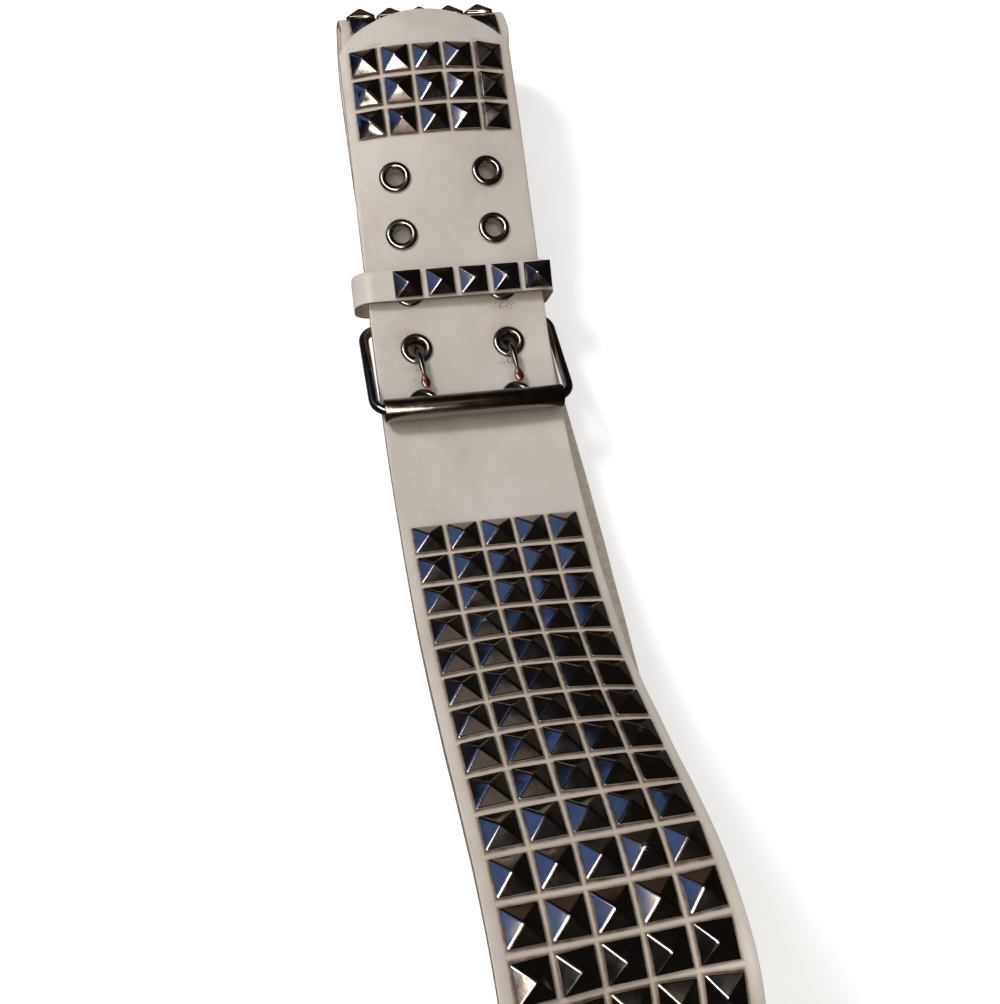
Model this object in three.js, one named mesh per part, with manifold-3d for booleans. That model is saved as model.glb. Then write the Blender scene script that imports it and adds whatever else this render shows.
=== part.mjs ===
// A wide studded leather belt, buckled into a loop and lying on a table.
// Its top run rises to a round bulb at the near end (-Y) and to a tight bend at the far end (+Y),
// its buckled middle sinks towards the bottom run, and the studs of the bottom run stand on the table.
// Millimetres, +Z up, +X to the right across the belt, the table top at z = 0.

import * as THREE from "three";
import { mergeVertices } from "three/addons/utils/BufferGeometryUtils.js";
import Module from "manifold-3d";

const wasm = await Module();
wasm.setup();

// Strap. It is cut in at both edges where it folds round the buckle's heel bar.
const strapWidth = 62;
const strapThickness = 2.8;
const foldInset = 4;
const layerGap = 0.4;

// Lying loop: restLength runs from the middle of the near bulb to the middle of the far bend,
// and pinnedShare of it lies between the near bulb and the pinned eyelets
const restLength = 317;
const pinnedShare = 0.6215;
const nearBulbRise = 75.8;
const farBendRise = 34.1;

// How far an edge of a crowned section goes below its middle, in crowns
const edgeDrop = 1.3;

// Pyramid studs, as many side by side as leave a plain margin at both edges
const studSide = 9.5;
const studSkirt = 1;
const studHeight = 3.8;
const columnPitch = 11.2;
const rowPitch = 11.6;
const plainMargin = 3;
const tipRows = 3;

// Eyelets, in pairs
const eyeletPairs = 5;
const pinnedPair = 4;
const eyeletPitch = 20.8;
const eyeletSpacing = 32.6;
const eyeletBore = 6;
const eyeletFlange = 11.3;
const eyeletBackFlange = 10.4;
const eyeletWall = 0.6;
const flangeThickness = 0.8;

// Where things lie along the strap, measured from one middle to the next
const tipRowsToEyelets = 21.3;
const eyeletsToField = 50.4;
const pinToKeeper = 22.3;
const pinToHeelBar = 10.7;
const pinToRoller = 24.9;
const tipArcRadius = 48;
const tipShoulder = 1.4;
const turnBackLength = 46;

// Buckle: the strap runs between the frame's side bars, and so does the roller
const wireDiameter = 3.4;
const strapToFrame = 0.8;
const rollerToFrame = 1.3;
const frameCorner = 4;
const rollerDiameter = 7.8;
const prongWire = 2.4;

// Keeper: slack beside the strap, and a little more of it on the left
const keeperWidth = 11;
const keeperThickness = 1.8;
const keeperSlack = 2.45;
const keeperOffset = -0.35;
const keeperCorner = 1.6;
const keeperStudPitch = 11.5;
const keeperEndMargin = 1.05;

// Finishes
const leather = { color: 0xcfc6ba, roughness: 0.5, metalness: 0 };
const gunmetal = { color: 0x2b2a2c, roughness: 0.18, metalness: 1 };
const darkSteel = { color: 0x3a3836, roughness: 0.25, metalness: 1 };

// Widths that follow the strap's
const columns = Math.floor((strapWidth - 2 * plainMargin - studSide) / columnPitch) + 1;
const foldWidth = strapWidth - 2 * foldInset;
const frameWidth = strapWidth + 2 * (strapToFrame + wireDiameter);
const rollerLength = frameWidth - 2 * (wireDiameter + rollerToFrame);
const keeperSpan = strapWidth + 2 * (keeperSlack + keeperThickness);

// Heights of the stacked layers
const halfThickness = strapThickness / 2;
const layerPitch = strapThickness + layerGap;
const eyeletRise = layerGap + flangeThickness;
const tipPitch = strapThickness + eyeletRise + layerGap;
const studdedPitch = strapThickness + studHeight + layerGap;
const barPitch = wireDiameter / 2 + layerGap + halfThickness;
const floorLevel = studHeight + halfThickness;
const buckleLevel = floorLevel + layerPitch + 2 * barPitch + tipPitch;
const farLevel = floorLevel + farBendRise;
const tipLevel = farLevel + studdedPitch;
const crestLevel = floorLevel + nearBulbRise;
const nearMiddle = -pinnedShare * restLength;
const farMiddle = nearMiddle + restLength;

// Top run from beyond the tip to the pins. along: share of restLength from the pins. lift: share of the
// way from the buckle's level to the tip's. roll: degrees, right side up. crown: share of strapWidth.
const tipRun = [
  { along: 0.420, lift: 1.09, roll: 2.4, crown: 0.052 },
  { along: 0.383, lift: 1.01, roll: 2.8, crown: 0.055 },
  { along: 0.309, lift: 0.84, roll: 3.6, crown: 0.057 },
  { along: 0.231, lift: 0.63, roll: 3.6, crown: 0.045 },
  { along: 0.152, lift: 0.40, roll: 2.8, crown: 0.027 },
  { along: 0.079, lift: 0.19, roll: 1.3, crown: 0.008 },
  { along: 0.000, lift: 0.00, roll: 0.0, crown: -0.006 },
];

// Top run from the pins to the near crest. lift: share of the way from the buckle's level to the crest.
// shift: sideways, share of strapWidth.
const nearRun = [
  { along: -0.042, lift: -0.024, roll: -0.3, crown: -0.009, shift: 0.000 },
  { along: -0.080, lift: -0.029, roll: -0.3, crown: -0.009, shift: 0.000 },
  { along: -0.118, lift: -0.021, roll: -0.3, crown: -0.009, shift: 0.000 },
  { along: -0.156, lift: -0.002, roll: -0.4, crown: -0.006, shift: 0.000 },
  { along: -0.235, lift: 0.077, roll: -1.4, crown: 0.008, shift: 0.002 },
  { along: -0.311, lift: 0.198, roll: -3.0, crown: 0.021, shift: 0.003 },
  { along: -0.380, lift: 0.362, roll: -3.9, crown: 0.042, shift: 0.008 },
  { along: -0.448, lift: 0.580, roll: -3.2, crown: 0.041, shift: 0.016 },
  { along: -0.515, lift: 0.808, roll: -1.4, crown: 0.020, shift: 0.025 },
  { along: -0.557, lift: 0.922, roll: -0.2, crown: -0.001, shift: 0.031 },
];

// Near bulb. turn: degrees from the crest down to the table.
const nearBulb = [
  { turn: 0, roll: 0.9, crown: -0.047, shift: 0.037 },
  { turn: 30, roll: 0.8, crown: -0.058, shift: 0.048 },
  { turn: 60, roll: 0.4, crown: -0.055, shift: 0.068 },
  { turn: 90, roll: 0, crown: -0.045, shift: 0.100 },
  { turn: 120, roll: 0, crown: -0.030, shift: 0.138 },
  { turn: 145, roll: 0, crown: -0.012, shift: 0.172 },
  { turn: 168, roll: 0, crown: 0, shift: 0.200 },
];

// Bottom run, flat on its studs
const bottomRun = [
  { along: -0.585, shift: 0.215 },
  { along: -0.53, shift: 0.217 },
  { along: -0.41, shift: 0.195 },
  { along: -0.29, shift: 0.163 },
  { along: -0.167, shift: 0.124 },
  { along: -0.08, shift: 0.090 },
  { along: 0.10, shift: 0.050 },
  { along: 0.25, shift: 0.037 },
  { along: 0.345, shift: 0.037 },
];

// Far bend. turn: degrees from the table up to the top.
const farBend = [
  { turn: 15, roll: 0, shift: 0.037 },
  { turn: 45, roll: 0, shift: 0.037 },
  { turn: 90, roll: 0, shift: 0.037 },
  { turn: 120, roll: 0.8, shift: 0.037 },
  { turn: 150, roll: 1.6, shift: 0.037 },
  { turn: 180, roll: 2.5, shift: 0.037 },
  { turn: 192, roll: 3, shift: 0.03 },
];

// Under run, below the tip. reach: share of the tip's length from the pins. clear: share of a stud's
// height between the two layers, beyond what the eyelets need. cutIn: the strap has its fold's width.
const underRun = [
  { reach: 0.80, clear: 1, shift: 0.018, cutIn: false },
  { reach: 0.68, clear: 1, shift: 0.010, cutIn: false },
  { reach: 0.56, clear: 0.35, shift: 0.004, cutIn: false },
  { reach: 0.45, clear: 0, shift: 0, cutIn: false },
  { reach: 0.32, clear: 0, shift: 0, cutIn: true },
  { reach: 0.20, clear: 0, shift: 0, cutIn: true },
];

// Turned-back end below the under run. back: share of turnBackLength from the heel bar.
// drop: share of the way from one layer down to the heel bar's lower side.
const turnBack = [
  { back: 0.15, drop: 1 },
  { back: 0.42, drop: 0.08 },
  { back: 0.70, drop: 0.08 },
  { back: 1.00, drop: 0.08 },
];

const xAxis = new THREE.Vector3(1, 0, 0);
const lerp = THREE.MathUtils.lerp;
const radians = THREE.MathUtils.degToRad;

// A strap's middle line through stations, with the section's axes at any length along it
class StrapPath {
  static samplesPerSpan = 40;

  constructor(stations) {
    this.stations = stations;
    const points = stations.map((station) => station.point);
    this.curve = new THREE.CatmullRomCurve3(points, false, "centripetal");
    this.divisions = (stations.length - 1) * StrapPath.samplesPerSpan;
    this.curve.arcLengthDivisions = this.divisions;
    this.lengths = this.curve.getLengths(this.divisions);
  }

  // Length from the start to a station
  lengthTo(index) {
    return this.lengths[index * StrapPath.samplesPerSpan];
  }

  // Section at a length from the start: place, axes along, across and out of the face, and shape
  sectionAt(length) {
    let low = 0;
    let high = this.divisions;
    while (high - low > 1) {
      const half = (low + high) >> 1;
      if (this.lengths[half] <= length) low = half;
      else high = half;
    }
    const span = this.lengths[high] - this.lengths[low];
    const t = (low + (length - this.lengths[low]) / span) / this.divisions;
    const place = THREE.MathUtils.clamp(t, 0, 1) * (this.stations.length - 1);
    const index = Math.min(Math.floor(place), this.stations.length - 2);
    const [from, to] = [this.stations[index], this.stations[index + 1]];
    const mix = (key, missing) => lerp(from[key] ?? missing, to[key] ?? missing, place - index);
    const point = this.curve.getPoint(THREE.MathUtils.clamp(t, 0, 1));
    const along = this.curve.getTangent(THREE.MathUtils.clamp(t, 0, 1));
    const across = xAxis.clone().addScaledVector(along, -along.x).normalize();
    across.applyAxisAngle(along, radians(mix("roll", 0)));
    const out = along.clone().cross(across);
    return { point, along, across, out, crown: mix("crown", 0) * strapWidth, width: mix("width", 1) };
  }
}

// The crown lifts the middle of a section and lets its edges down
function crownAt(crown, side) {
  const edge = 2 * side / strapWidth;
  return crown * (1 - edgeDrop * edge * edge);
}

// Stations of the top run
function topStations() {
  const place = (row, level) => new THREE.Vector3(
    (row.shift ?? 0) * strapWidth,
    row.along * restLength,
    lerp(buckleLevel, level, row.lift),
  );
  return [
    ...tipRun.map((row) => ({ ...row, point: place(row, tipLevel) })),
    ...nearRun.map((row) => ({ ...row, point: place(row, crestLevel) })),
  ];
}

// Stations of a half-turn whose middle is at (along, level), by degrees from straight up or down
function bendStations(rows, middle, level, radius, startDegrees) {
  return rows.map((row) => {
    const angle = radians(startDegrees + row.turn);
    const point = new THREE.Vector3(
      row.shift * strapWidth,
      middle + radius * Math.cos(angle),
      level + radius * Math.sin(angle),
    );
    return { ...row, point };
  });
}

function bottomStations() {
  return bottomRun.map((row) => ({
    point: new THREE.Vector3(row.shift * strapWidth, row.along * restLength, floorLevel),
  }));
}

// Lengths along the strap are measured from the pinned eyelets, the tip's side negative
const firstEyelets = (1 - pinnedPair) * eyeletPitch;
const lastEyelets = (eyeletPairs - pinnedPair) * eyeletPitch;
const lastTipRow = firstEyelets - tipRowsToEyelets;
const firstTipRow = lastTipRow - (tipRows - 1) * rowPitch;
const fieldStart = lastEyelets + eyeletsToField;
const tipArcDrop = tipArcRadius - Math.sqrt(tipArcRadius ** 2 - (strapWidth / 2) ** 2);
const tipEnd = firstTipRow - studSide / 2 - tipShoulder - tipArcDrop;

const top = topStations();
const nearBulbRows = bendStations(
  nearBulb, nearMiddle, floorLevel + nearBulbRise / 2, nearBulbRise / 2, 90);
const farBendRows = bendStations(farBend, farMiddle, floorLevel + farBendRise / 2, farBendRise / 2, -90);
const topPath = new StrapPath([...top, ...nearBulbRows]);
const pinLength = topPath.lengthTo(tipRun.length - 1);
const topSection = (length) => topPath.sectionAt(pinLength + length);

// A station below the top run: its middle hangs under the top run's, on the same slant
function hungStation(length, depth, row = {}, facing = 1) {
  const section = topSection(length);
  const point = section.point.clone().addScaledVector(section.out, -depth);
  point.x += (row.shift ?? 0) * strapWidth;
  const roll = THREE.MathUtils.radToDeg(Math.asin(section.across.z));
  return {
    point,
    roll: facing * roll,
    crown: facing * section.crown / strapWidth,
    width: row.width ?? 1,
  };
}

// Heel bar: where the strap's other end turns back under itself
const heelSection = topSection(-pinToHeelBar);
const heelMiddle = heelSection.point.clone().addScaledVector(heelSection.out, -(tipPitch + barPitch));
const foldShare = foldWidth / strapWidth;

function underStations() {
  return underRun.map((row) => hungStation(
    row.reach * tipEnd,
    lerp(tipPitch, studdedPitch, row.clear),
    { ...row, width: row.cutIn ? foldShare : 1 },
  ));
}

function foldStations() {
  const turns = [0, 45, 90, 135, 180];
  return turns.map((turn) => {
    const angle = radians(turn);
    const point = heelMiddle.clone()
      .addScaledVector(heelSection.out, barPitch * Math.cos(angle))
      .addScaledVector(heelSection.along, barPitch * Math.sin(angle));
    return { point, width: foldShare };
  });
}

function turnBackStations() {
  return turnBack.map((row) => hungStation(
    -pinToHeelBar - row.back * turnBackLength,
    tipPitch + lerp(layerPitch, 2 * barPitch, row.drop),
    { width: foldShare },
    -1,
  ));
}

const under = underStations();
const allStations = [
  ...top, ...nearBulbRows, ...bottomStations(), ...farBendRows, ...under, ...foldStations(),
  ...turnBackStations(),
];
const path = new StrapPath(allStations);
const section = (length) => path.sectionAt(pinLength + length);
const farBendIndex = top.length + nearBulb.length + bottomRun.length;
const underIndex = farBendIndex + farBend.length;
const foldIndex = underIndex + under.length;
const lengthOf = (index) => path.lengthTo(index) - pinLength;
const studdedEnd = lengthOf(underIndex + 1);
const foldStart = lengthOf(foldIndex);
const foldEnd = lengthOf(foldIndex + foldStations().length - 1);
const strapEnd = lengthOf(allStations.length - 1);

// A point of the strap: length along, distance to the side, height over the middle of the wall
function strapPoint(length, side, height) {
  const at = section(length);
  const across = side * at.width;
  return at.point.clone()
    .addScaledVector(at.across, across)
    .addScaledVector(at.out, height + crownAt(at.crown, across));
}

// The strap's face at a point, as a matrix with +Z out of the face and +Y towards the tip
function strapMatrix(length, side, height) {
  const step = 0.5;
  const point = strapPoint(length, side, height);
  const toTip = strapPoint(length - step, side, height).sub(point).normalize();
  const across = strapPoint(length, side + step, height).sub(point).normalize();
  const out = across.clone().cross(toTip).normalize();
  across.copy(toTip).cross(out);
  return new THREE.Matrix4().makeBasis(across, toTip, out).setPosition(point);
}

// Closed solids
function toManifold(geometry) {
  const bare = geometry.clone();
  bare.deleteAttribute("normal");
  bare.deleteAttribute("uv");
  const merged = mergeVertices(bare, 1e-4);
  return new wasm.Manifold(new wasm.Mesh({
    numProp: 3,
    vertProperties: new Float32Array(merged.attributes.position.array),
    triVerts: new Uint32Array(merged.index.array),
  }));
}

function toGeometry(manifold) {
  const mesh = manifold.getMesh();
  const geometry = new THREE.BufferGeometry();
  geometry.setAttribute("position", new THREE.BufferAttribute(new Float32Array(mesh.vertProperties), 3));
  geometry.setIndex(new THREE.BufferAttribute(new Uint32Array(mesh.triVerts), 1));
  geometry.computeVertexNormals();
  return geometry;
}

// Collects points and the triangles between them
class Skin {
  points = [];
  triangles = [];

  add(point) {
    this.points.push(point);
    return this.points.length - 1;
  }

  triangle(a, b, c) {
    this.triangles.push(a, b, c);
  }

  quad(a, b, c, d) {
    this.triangle(a, b, c);
    this.triangle(a, c, d);
  }

  // Band between two rows of points that run the same way, matched by their distance to the side
  band(upper, lower) {
    let [i, j] = [0, 0];
    while (i < upper.length - 1 || j < lower.length - 1) {
      const upperNext = i < upper.length - 1 ? upper[i + 1].side : Infinity;
      const lowerNext = j < lower.length - 1 ? lower[j + 1].side : Infinity;
      if (upperNext <= lowerNext) {
        this.triangle(upper[i].id, upper[i + 1].id, lower[j].id);
        i += 1;
      } else {
        this.triangle(upper[i].id, lower[j + 1].id, lower[j].id);
        j += 1;
      }
    }
  }

  geometry() {
    const geometry = new THREE.BufferGeometry();
    geometry.setFromPoints(this.points);
    geometry.setIndex(this.triangles);
    return geometry;
  }
}

// Stud on a face with the four corners a, b, c, d in turn, seen from outside
function addStud(skin, corners) {
  const [a, b, c, d] = corners.map((id) => skin.points[id]);
  const out = b.clone().sub(d).cross(c.clone().sub(a)).normalize();
  const rim = corners.map((id) => skin.add(skin.points[id].clone().addScaledVector(out, studSkirt)));
  const middle = a.clone().add(b).add(c).add(d).multiplyScalar(0.25);
  const apex = skin.add(middle.addScaledVector(out, studHeight));
  for (let side = 0; side < 4; side += 1) {
    const next = (side + 1) % 4;
    skin.quad(corners[side], corners[next], rim[next], rim[side]);
    skin.triangle(rim[side], rim[next], apex);
  }
}

// Half of a stud's length along the strap's middle line, which is shorter than its face on a bend
function studReach(length) {
  const half = studSide / 2;
  const before = section(length - half);
  const after = section(length + half);
  const bend = after.out.clone().sub(before.out).dot(section(length).along) / studSide;
  return half / (1 + bend * halfThickness);
}

// Lines across the strap, from the tip to the turned-back end; a stud row follows a line with studs
function strapLines() {
  const plainStep = 13;
  const foldStep = 2.2;
  const lines = [{ length: tipEnd, arc: true }];
  const fill = (from, to, step) => {
    const count = Math.max(1, Math.ceil((to - from) / step));
    for (let k = 1; k < count; k += 1) {
      lines.push({ length: lerp(from, to, k / count) });
    }
  };
  const addRow = (middle) => {
    const reach = studReach(middle);
    lines.push({ length: middle - reach, studs: true });
    lines.push({ length: middle + reach });
    return middle + reach;
  };
  let edge = tipEnd;
  for (let row = 0; row < tipRows; row += 1) {
    edge = addRow(firstTipRow + row * rowPitch);
  }
  fill(edge, fieldStart - studSide / 2, plainStep);
  const rowCount = Math.floor((studdedEnd - fieldStart) / rowPitch) + 1;
  for (let row = 0; row < rowCount; row += 1) {
    edge = addRow(fieldStart + row * rowPitch);
  }
  fill(edge, foldStart, plainStep);
  lines.push({ length: foldStart });
  fill(foldStart, foldEnd, foldStep);
  lines.push({ length: foldEnd });
  fill(foldEnd, strapEnd, plainStep);
  lines.push({ length: strapEnd });
  return lines;
}

// Distances to the side of the lines along the strap: its edges and both sides of each stud column
function outerSides() {
  const sides = [-strapWidth / 2];
  for (let column = 0; column < columns; column += 1) {
    const middle = (column - (columns - 1) / 2) * columnPitch;
    sides.push(middle - studSide / 2, middle + studSide / 2);
  }
  sides.push(strapWidth / 2);
  return sides;
}

function strapSkin() {
  const skin = new Skin();
  const lines = strapLines();
  const flatCrown = 0.4;
  const innerSides = (line) => {
    const crowned = Math.abs(section(line.length).crown) > flatCrown;
    const shares = crowned ? [-1 / 2, -1 / 4, 0, 1 / 4, 1 / 2] : [-1 / 2, 1 / 2];
    return shares.map((share) => share * strapWidth);
  };
  const arcDrop = (side) => tipArcRadius - Math.sqrt(tipArcRadius ** 2 - side ** 2);
  const row = (line, sides, height) => sides.map((side) => {
    const length = line.length + (line.arc ? arcDrop(side) : 0);
    return { side, id: skin.add(strapPoint(length, side, height)) };
  });
  const outer = lines.map((line) => row(line, outerSides(), halfThickness));
  const inner = lines.map((line) => row(line, innerSides(line), -halfThickness));
  for (let i = 0; i < lines.length - 1; i += 1) {
    for (let j = 0; j < outer[i].length - 1; j += 1) {
      const cell = [outer[i][j].id, outer[i + 1][j].id, outer[i + 1][j + 1].id, outer[i][j + 1].id];
      if (lines[i].studs && j % 2 === 1) addStud(skin, cell);
      else skin.quad(...cell);
    }
    skin.band(inner[i], inner[i + 1]);
    skin.quad(outer[i][0].id, inner[i][0].id, inner[i + 1][0].id, outer[i + 1][0].id);
    skin.quad(outer[i].at(-1).id, outer[i + 1].at(-1).id, inner[i + 1].at(-1).id, inner[i].at(-1).id);
  }
  skin.band(outer[0], inner[0]);
  const mirrored = (ends) => ends.map((end) => ({ side: -end.side, id: end.id })).reverse();
  skin.band(mirrored(outer.at(-1)), mirrored(inner.at(-1)));
  return skin.geometry();
}

const eyeletPlaces = [];
for (let pair = 1; pair <= eyeletPairs; pair += 1) {
  for (const [name, sign] of [["left", -1], ["right", 1]]) {
    eyeletPlaces.push({
      name: `eyelet_${pair}_${name}`,
      matrix: strapMatrix((pair - pinnedPair) * eyeletPitch, sign * eyeletSpacing / 2, 0),
    });
  }
}

// Strap with its studs, less the eyelet holes and the two prong slots in the fold
function strapGeometry() {
  let strap = toManifold(strapSkin());
  const holeRadius = eyeletBore / 2 + eyeletWall + layerGap;
  const holeSides = 10;
  const hole = new THREE.CylinderGeometry(holeRadius, holeRadius, 3 * strapThickness, holeSides);
  hole.rotateX(Math.PI / 2);
  for (const place of eyeletPlaces) {
    strap = strap.subtract(toManifold(hole.clone().applyMatrix4(place.matrix)));
  }
  const slotRadius = barPitch + halfThickness + layerGap / 2;
  const slotSides = 12;
  const slot = new THREE.CylinderGeometry(slotRadius, slotRadius, prongWire + 2 * layerGap, slotSides);
  slot.rotateZ(Math.PI / 2);
  for (const side of [-1, 1]) {
    const cut = slot.clone().translate(side * eyeletSpacing / 2, heelMiddle.y, heelMiddle.z);
    strap = strap.subtract(toManifold(cut));
  }
  return toGeometry(strap);
}

// Eyelet: a barrel with a domed flange over the face and a flat one behind
function eyeletGeometry() {
  const bore = eyeletBore / 2;
  const face = halfThickness + layerGap;
  const profile = [
    [bore, -face - flangeThickness],
    [eyeletBackFlange / 2, -face - flangeThickness],
    [eyeletBackFlange / 2, -face],
    [bore + eyeletWall, -face],
    [bore + eyeletWall, face],
    [eyeletFlange / 2, face],
    [bore, face + flangeThickness],
    [bore, -face - flangeThickness],
  ].map(([x, y]) => new THREE.Vector2(x, y));
  const eyeletSides = 10;
  const geometry = new THREE.LatheGeometry(profile, eyeletSides);
  geometry.rotateX(Math.PI / 2);
  return geometry;
}

// A solid through rings of points: closed on itself, or with a flat cap at each end
function loft(rings, closed) {
  const skin = new Skin();
  const ids = rings.map((ring) => ring.map((point) => skin.add(point)));
  const count = ids[0].length;
  const spans = closed ? ids.length : ids.length - 1;
  for (let i = 0; i < spans; i += 1) {
    const next = ids[(i + 1) % ids.length];
    for (let j = 0; j < count; j += 1) {
      const k = (j + 1) % count;
      skin.quad(ids[i][j], ids[i][k], next[k], next[j]);
    }
  }
  if (!closed) {
    for (let j = 1; j < count - 1; j += 1) {
      skin.triangle(ids[0][0], ids[0][j + 1], ids[0][j]);
      skin.triangle(ids.at(-1)[0], ids.at(-1)[j], ids.at(-1)[j + 1]);
    }
  }
  return skin.geometry();
}

// Roller middle: the roller lies on the flanges of the last eyelets
const rollerSection = topSection(pinToRoller);
const rollerLift = halfThickness + eyeletRise + layerGap + rollerDiameter / 2;
const rollerMiddle = rollerSection.point.clone().addScaledVector(rollerSection.out, rollerLift);
rollerMiddle.x = 0;

// Frame: one round wire round a rectangle, from the heel bar up to the roller's bar
function frameGeometry() {
  const halfWidth = frameWidth / 2 - wireDiameter / 2;
  const lengthwise = rollerMiddle.clone().sub(heelMiddle);
  const halfLength = lengthwise.length() / 2;
  lengthwise.normalize();
  const up = lengthwise.clone().cross(xAxis);
  const middle = rollerMiddle.clone().add(heelMiddle).multiplyScalar(0.5);
  const wireSides = 8;
  const cornerSteps = 4;
  const rings = [];
  const corners = [[1, 1, 0], [-1, 1, 90], [-1, -1, 180], [1, -1, 270]];
  for (const [sideSign, endSign, start] of corners) {
    const corner = middle.clone()
      .addScaledVector(xAxis, sideSign * (halfWidth - frameCorner))
      .addScaledVector(lengthwise, endSign * (halfLength - frameCorner));
    for (let step = 0; step <= cornerSteps; step += 1) {
      const angle = radians(start + 90 * step / cornerSteps);
      const outward = xAxis.clone().multiplyScalar(Math.cos(angle))
        .addScaledVector(lengthwise, Math.sin(angle));
      const ring = [];
      for (let k = 0; k < wireSides; k += 1) {
        const around = 2 * Math.PI * k / wireSides;
        ring.push(corner.clone()
          .addScaledVector(outward, frameCorner + wireDiameter / 2 * Math.cos(around))
          .addScaledVector(up, wireDiameter / 2 * Math.sin(around)));
      }
      rings.push(ring);
    }
  }
  return loft(rings, true);
}

function rollerGeometry() {
  const bore = wireDiameter / 2 + layerGap;
  const radius = rollerDiameter / 2;
  const half = rollerLength / 2;
  const profile = [[bore, -half], [radius, -half], [radius, half], [bore, half], [bore, -half]]
    .map(([x, y]) => new THREE.Vector2(x, y));
  const rollerSides = 16;
  const geometry = new THREE.LatheGeometry(profile, rollerSides);
  geometry.rotateZ(-Math.PI / 2);
  return geometry;
}

// Prong: a wire hooked round the heel bar, up through its eyelet and forward to a flattened point.
// ahead: towards the roller from the eyelet's middle. over: out of the face. Shares of pinToRoller.
const prongRun = [
  { ahead: -0.142, over: -0.309 },
  { ahead: -0.052, over: -0.117 },
  { ahead: 0.040, over: 0.104 },
  { ahead: 0.142, over: 0.196 },
  { ahead: 0.401, over: 0.236 },
  { ahead: 0.718, over: 0.263 },
];

// place: share of the prong's length. wide and thick: shares of prongWire.
const prongTaper = [
  { place: 0.00, wide: 1.00, thick: 1.00 },
  { place: 0.72, wide: 1.00, thick: 1.00 },
  { place: 0.84, wide: 0.72, thick: 0.75 },
  { place: 0.95, wide: 1.25, thick: 0.50 },
  { place: 1.00, wide: 0.85, thick: 0.42 },
];

function taperAt(share) {
  const next = Math.max(1, prongTaper.findIndex((row) => row.place >= share));
  const [from, to] = [prongTaper[next - 1], prongTaper[next]];
  const mix = (share - from.place) / (to.place - from.place);
  return { wide: lerp(from.wide, to.wide, mix), thick: lerp(from.thick, to.thick, mix) };
}

function prongGeometry(side) {
  const pin = topSection(0);
  const hookRadius = wireDiameter / 2 + layerGap + prongWire / 2;
  const hookTurns = [130, 85, 40, -5, -50, -95];
  const points = hookTurns.map((turn) => new THREE.Vector3(
    0,
    heelMiddle.y + hookRadius * Math.cos(radians(turn)),
    heelMiddle.z + hookRadius * Math.sin(radians(turn)),
  ));
  for (const row of prongRun) {
    const point = pin.point.clone()
      .addScaledVector(pin.along, row.ahead * eyeletPitch)
      .addScaledVector(pin.out, row.over * eyeletPitch);
    point.x = 0;
    points.push(point);
  }
  const curve = new THREE.CatmullRomCurve3(points, false, "centripetal");
  const rings = [];
  const ringCount = 20;
  const prongSides = 6;
  for (let i = 0; i <= ringCount; i += 1) {
    const share = i / ringCount;
    const middle = curve.getPointAt(share);
    const up = curve.getTangentAt(share).cross(xAxis);
    const { wide, thick } = taperAt(share);
    const ring = [];
    for (let k = 0; k < prongSides; k += 1) {
      const around = 2 * Math.PI * (k + 0.5) / prongSides;
      ring.push(middle.clone()
        .addScaledVector(xAxis, wide * prongWire / 2 * Math.cos(around))
        .addScaledVector(up, thick * prongWire / 2 * Math.sin(around)));
    }
    rings.push(ring);
  }
  const geometry = loft(rings, false);
  geometry.translate(side * eyeletSpacing / 2, 0, 0);
  return geometry;
}

// One loose stud, sunk a little into what carries it
function studGeometry() {
  const sunk = 0.4;
  const skin = new Skin();
  const half = studSide / 2;
  const corners = [[-half, -half], [half, -half], [half, half], [-half, half]]
    .map(([x, y]) => skin.add(new THREE.Vector3(x, y, -sunk)));
  const rim = corners.map((id) => skin.add(skin.points[id].clone().setZ(studSkirt)));
  const apex = skin.add(new THREE.Vector3(0, 0, studHeight));
  for (let side = 0; side < 4; side += 1) {
    const next = (side + 1) % 4;
    skin.quad(corners[side], corners[next], rim[next], rim[side]);
    skin.triangle(rim[side], rim[next], apex);
  }
  skin.quad(corners[3], corners[2], corners[1], corners[0]);
  return skin.geometry();
}

// Keeper: a leather band round the tip, the strap under it and the turned-back end, with five studs
function keeperGeometry() {
  const topInside = halfThickness + eyeletRise + layerGap;
  const bottomInside = -(tipPitch + 2 * barPitch + halfThickness + layerGap);
  const [left, right] = [keeperOffset - keeperSpan / 2, keeperOffset + keeperSpan / 2];
  const insideCorner = 0.2;
  const box = (shape, inset) => {
    const [x0, x1] = [left + inset, right - inset];
    const [y0, y1] = [bottomInside - keeperThickness + inset, topInside + keeperThickness - inset];
    const r = Math.max(keeperCorner - inset, insideCorner);
    shape.moveTo(x0 + r, y0);
    shape.lineTo(x1 - r, y0);
    shape.absarc(x1 - r, y0 + r, r, -Math.PI / 2, 0, false);
    shape.lineTo(x1, y1 - r);
    shape.absarc(x1 - r, y1 - r, r, 0, Math.PI / 2, false);
    shape.lineTo(x0 + r, y1);
    shape.absarc(x0 + r, y1 - r, r, Math.PI / 2, Math.PI, false);
    shape.lineTo(x0, y0 + r);
    shape.absarc(x0 + r, y0 + r, r, Math.PI, 1.5 * Math.PI, false);
    return shape;
  };
  const outline = box(new THREE.Shape(), 0);
  outline.holes.push(box(new THREE.Path(), keeperThickness));
  const band = new THREE.ExtrudeGeometry(outline, { depth: keeperWidth, bevelEnabled: false, curveSegments: 2 });
  band.translate(0, 0, -keeperWidth / 2);
  band.rotateX(Math.PI / 2);
  let keeper = toManifold(band);
  const lastStud = right - keeperEndMargin - studSide / 2;
  for (let k = 0; k < columns; k += 1) {
    const stud = studGeometry();
    stud.translate(lastStud - k * keeperStudPitch, 0, topInside + keeperThickness);
    keeper = keeper.add(toManifold(stud));
  }
  return toGeometry(keeper);
}

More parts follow.
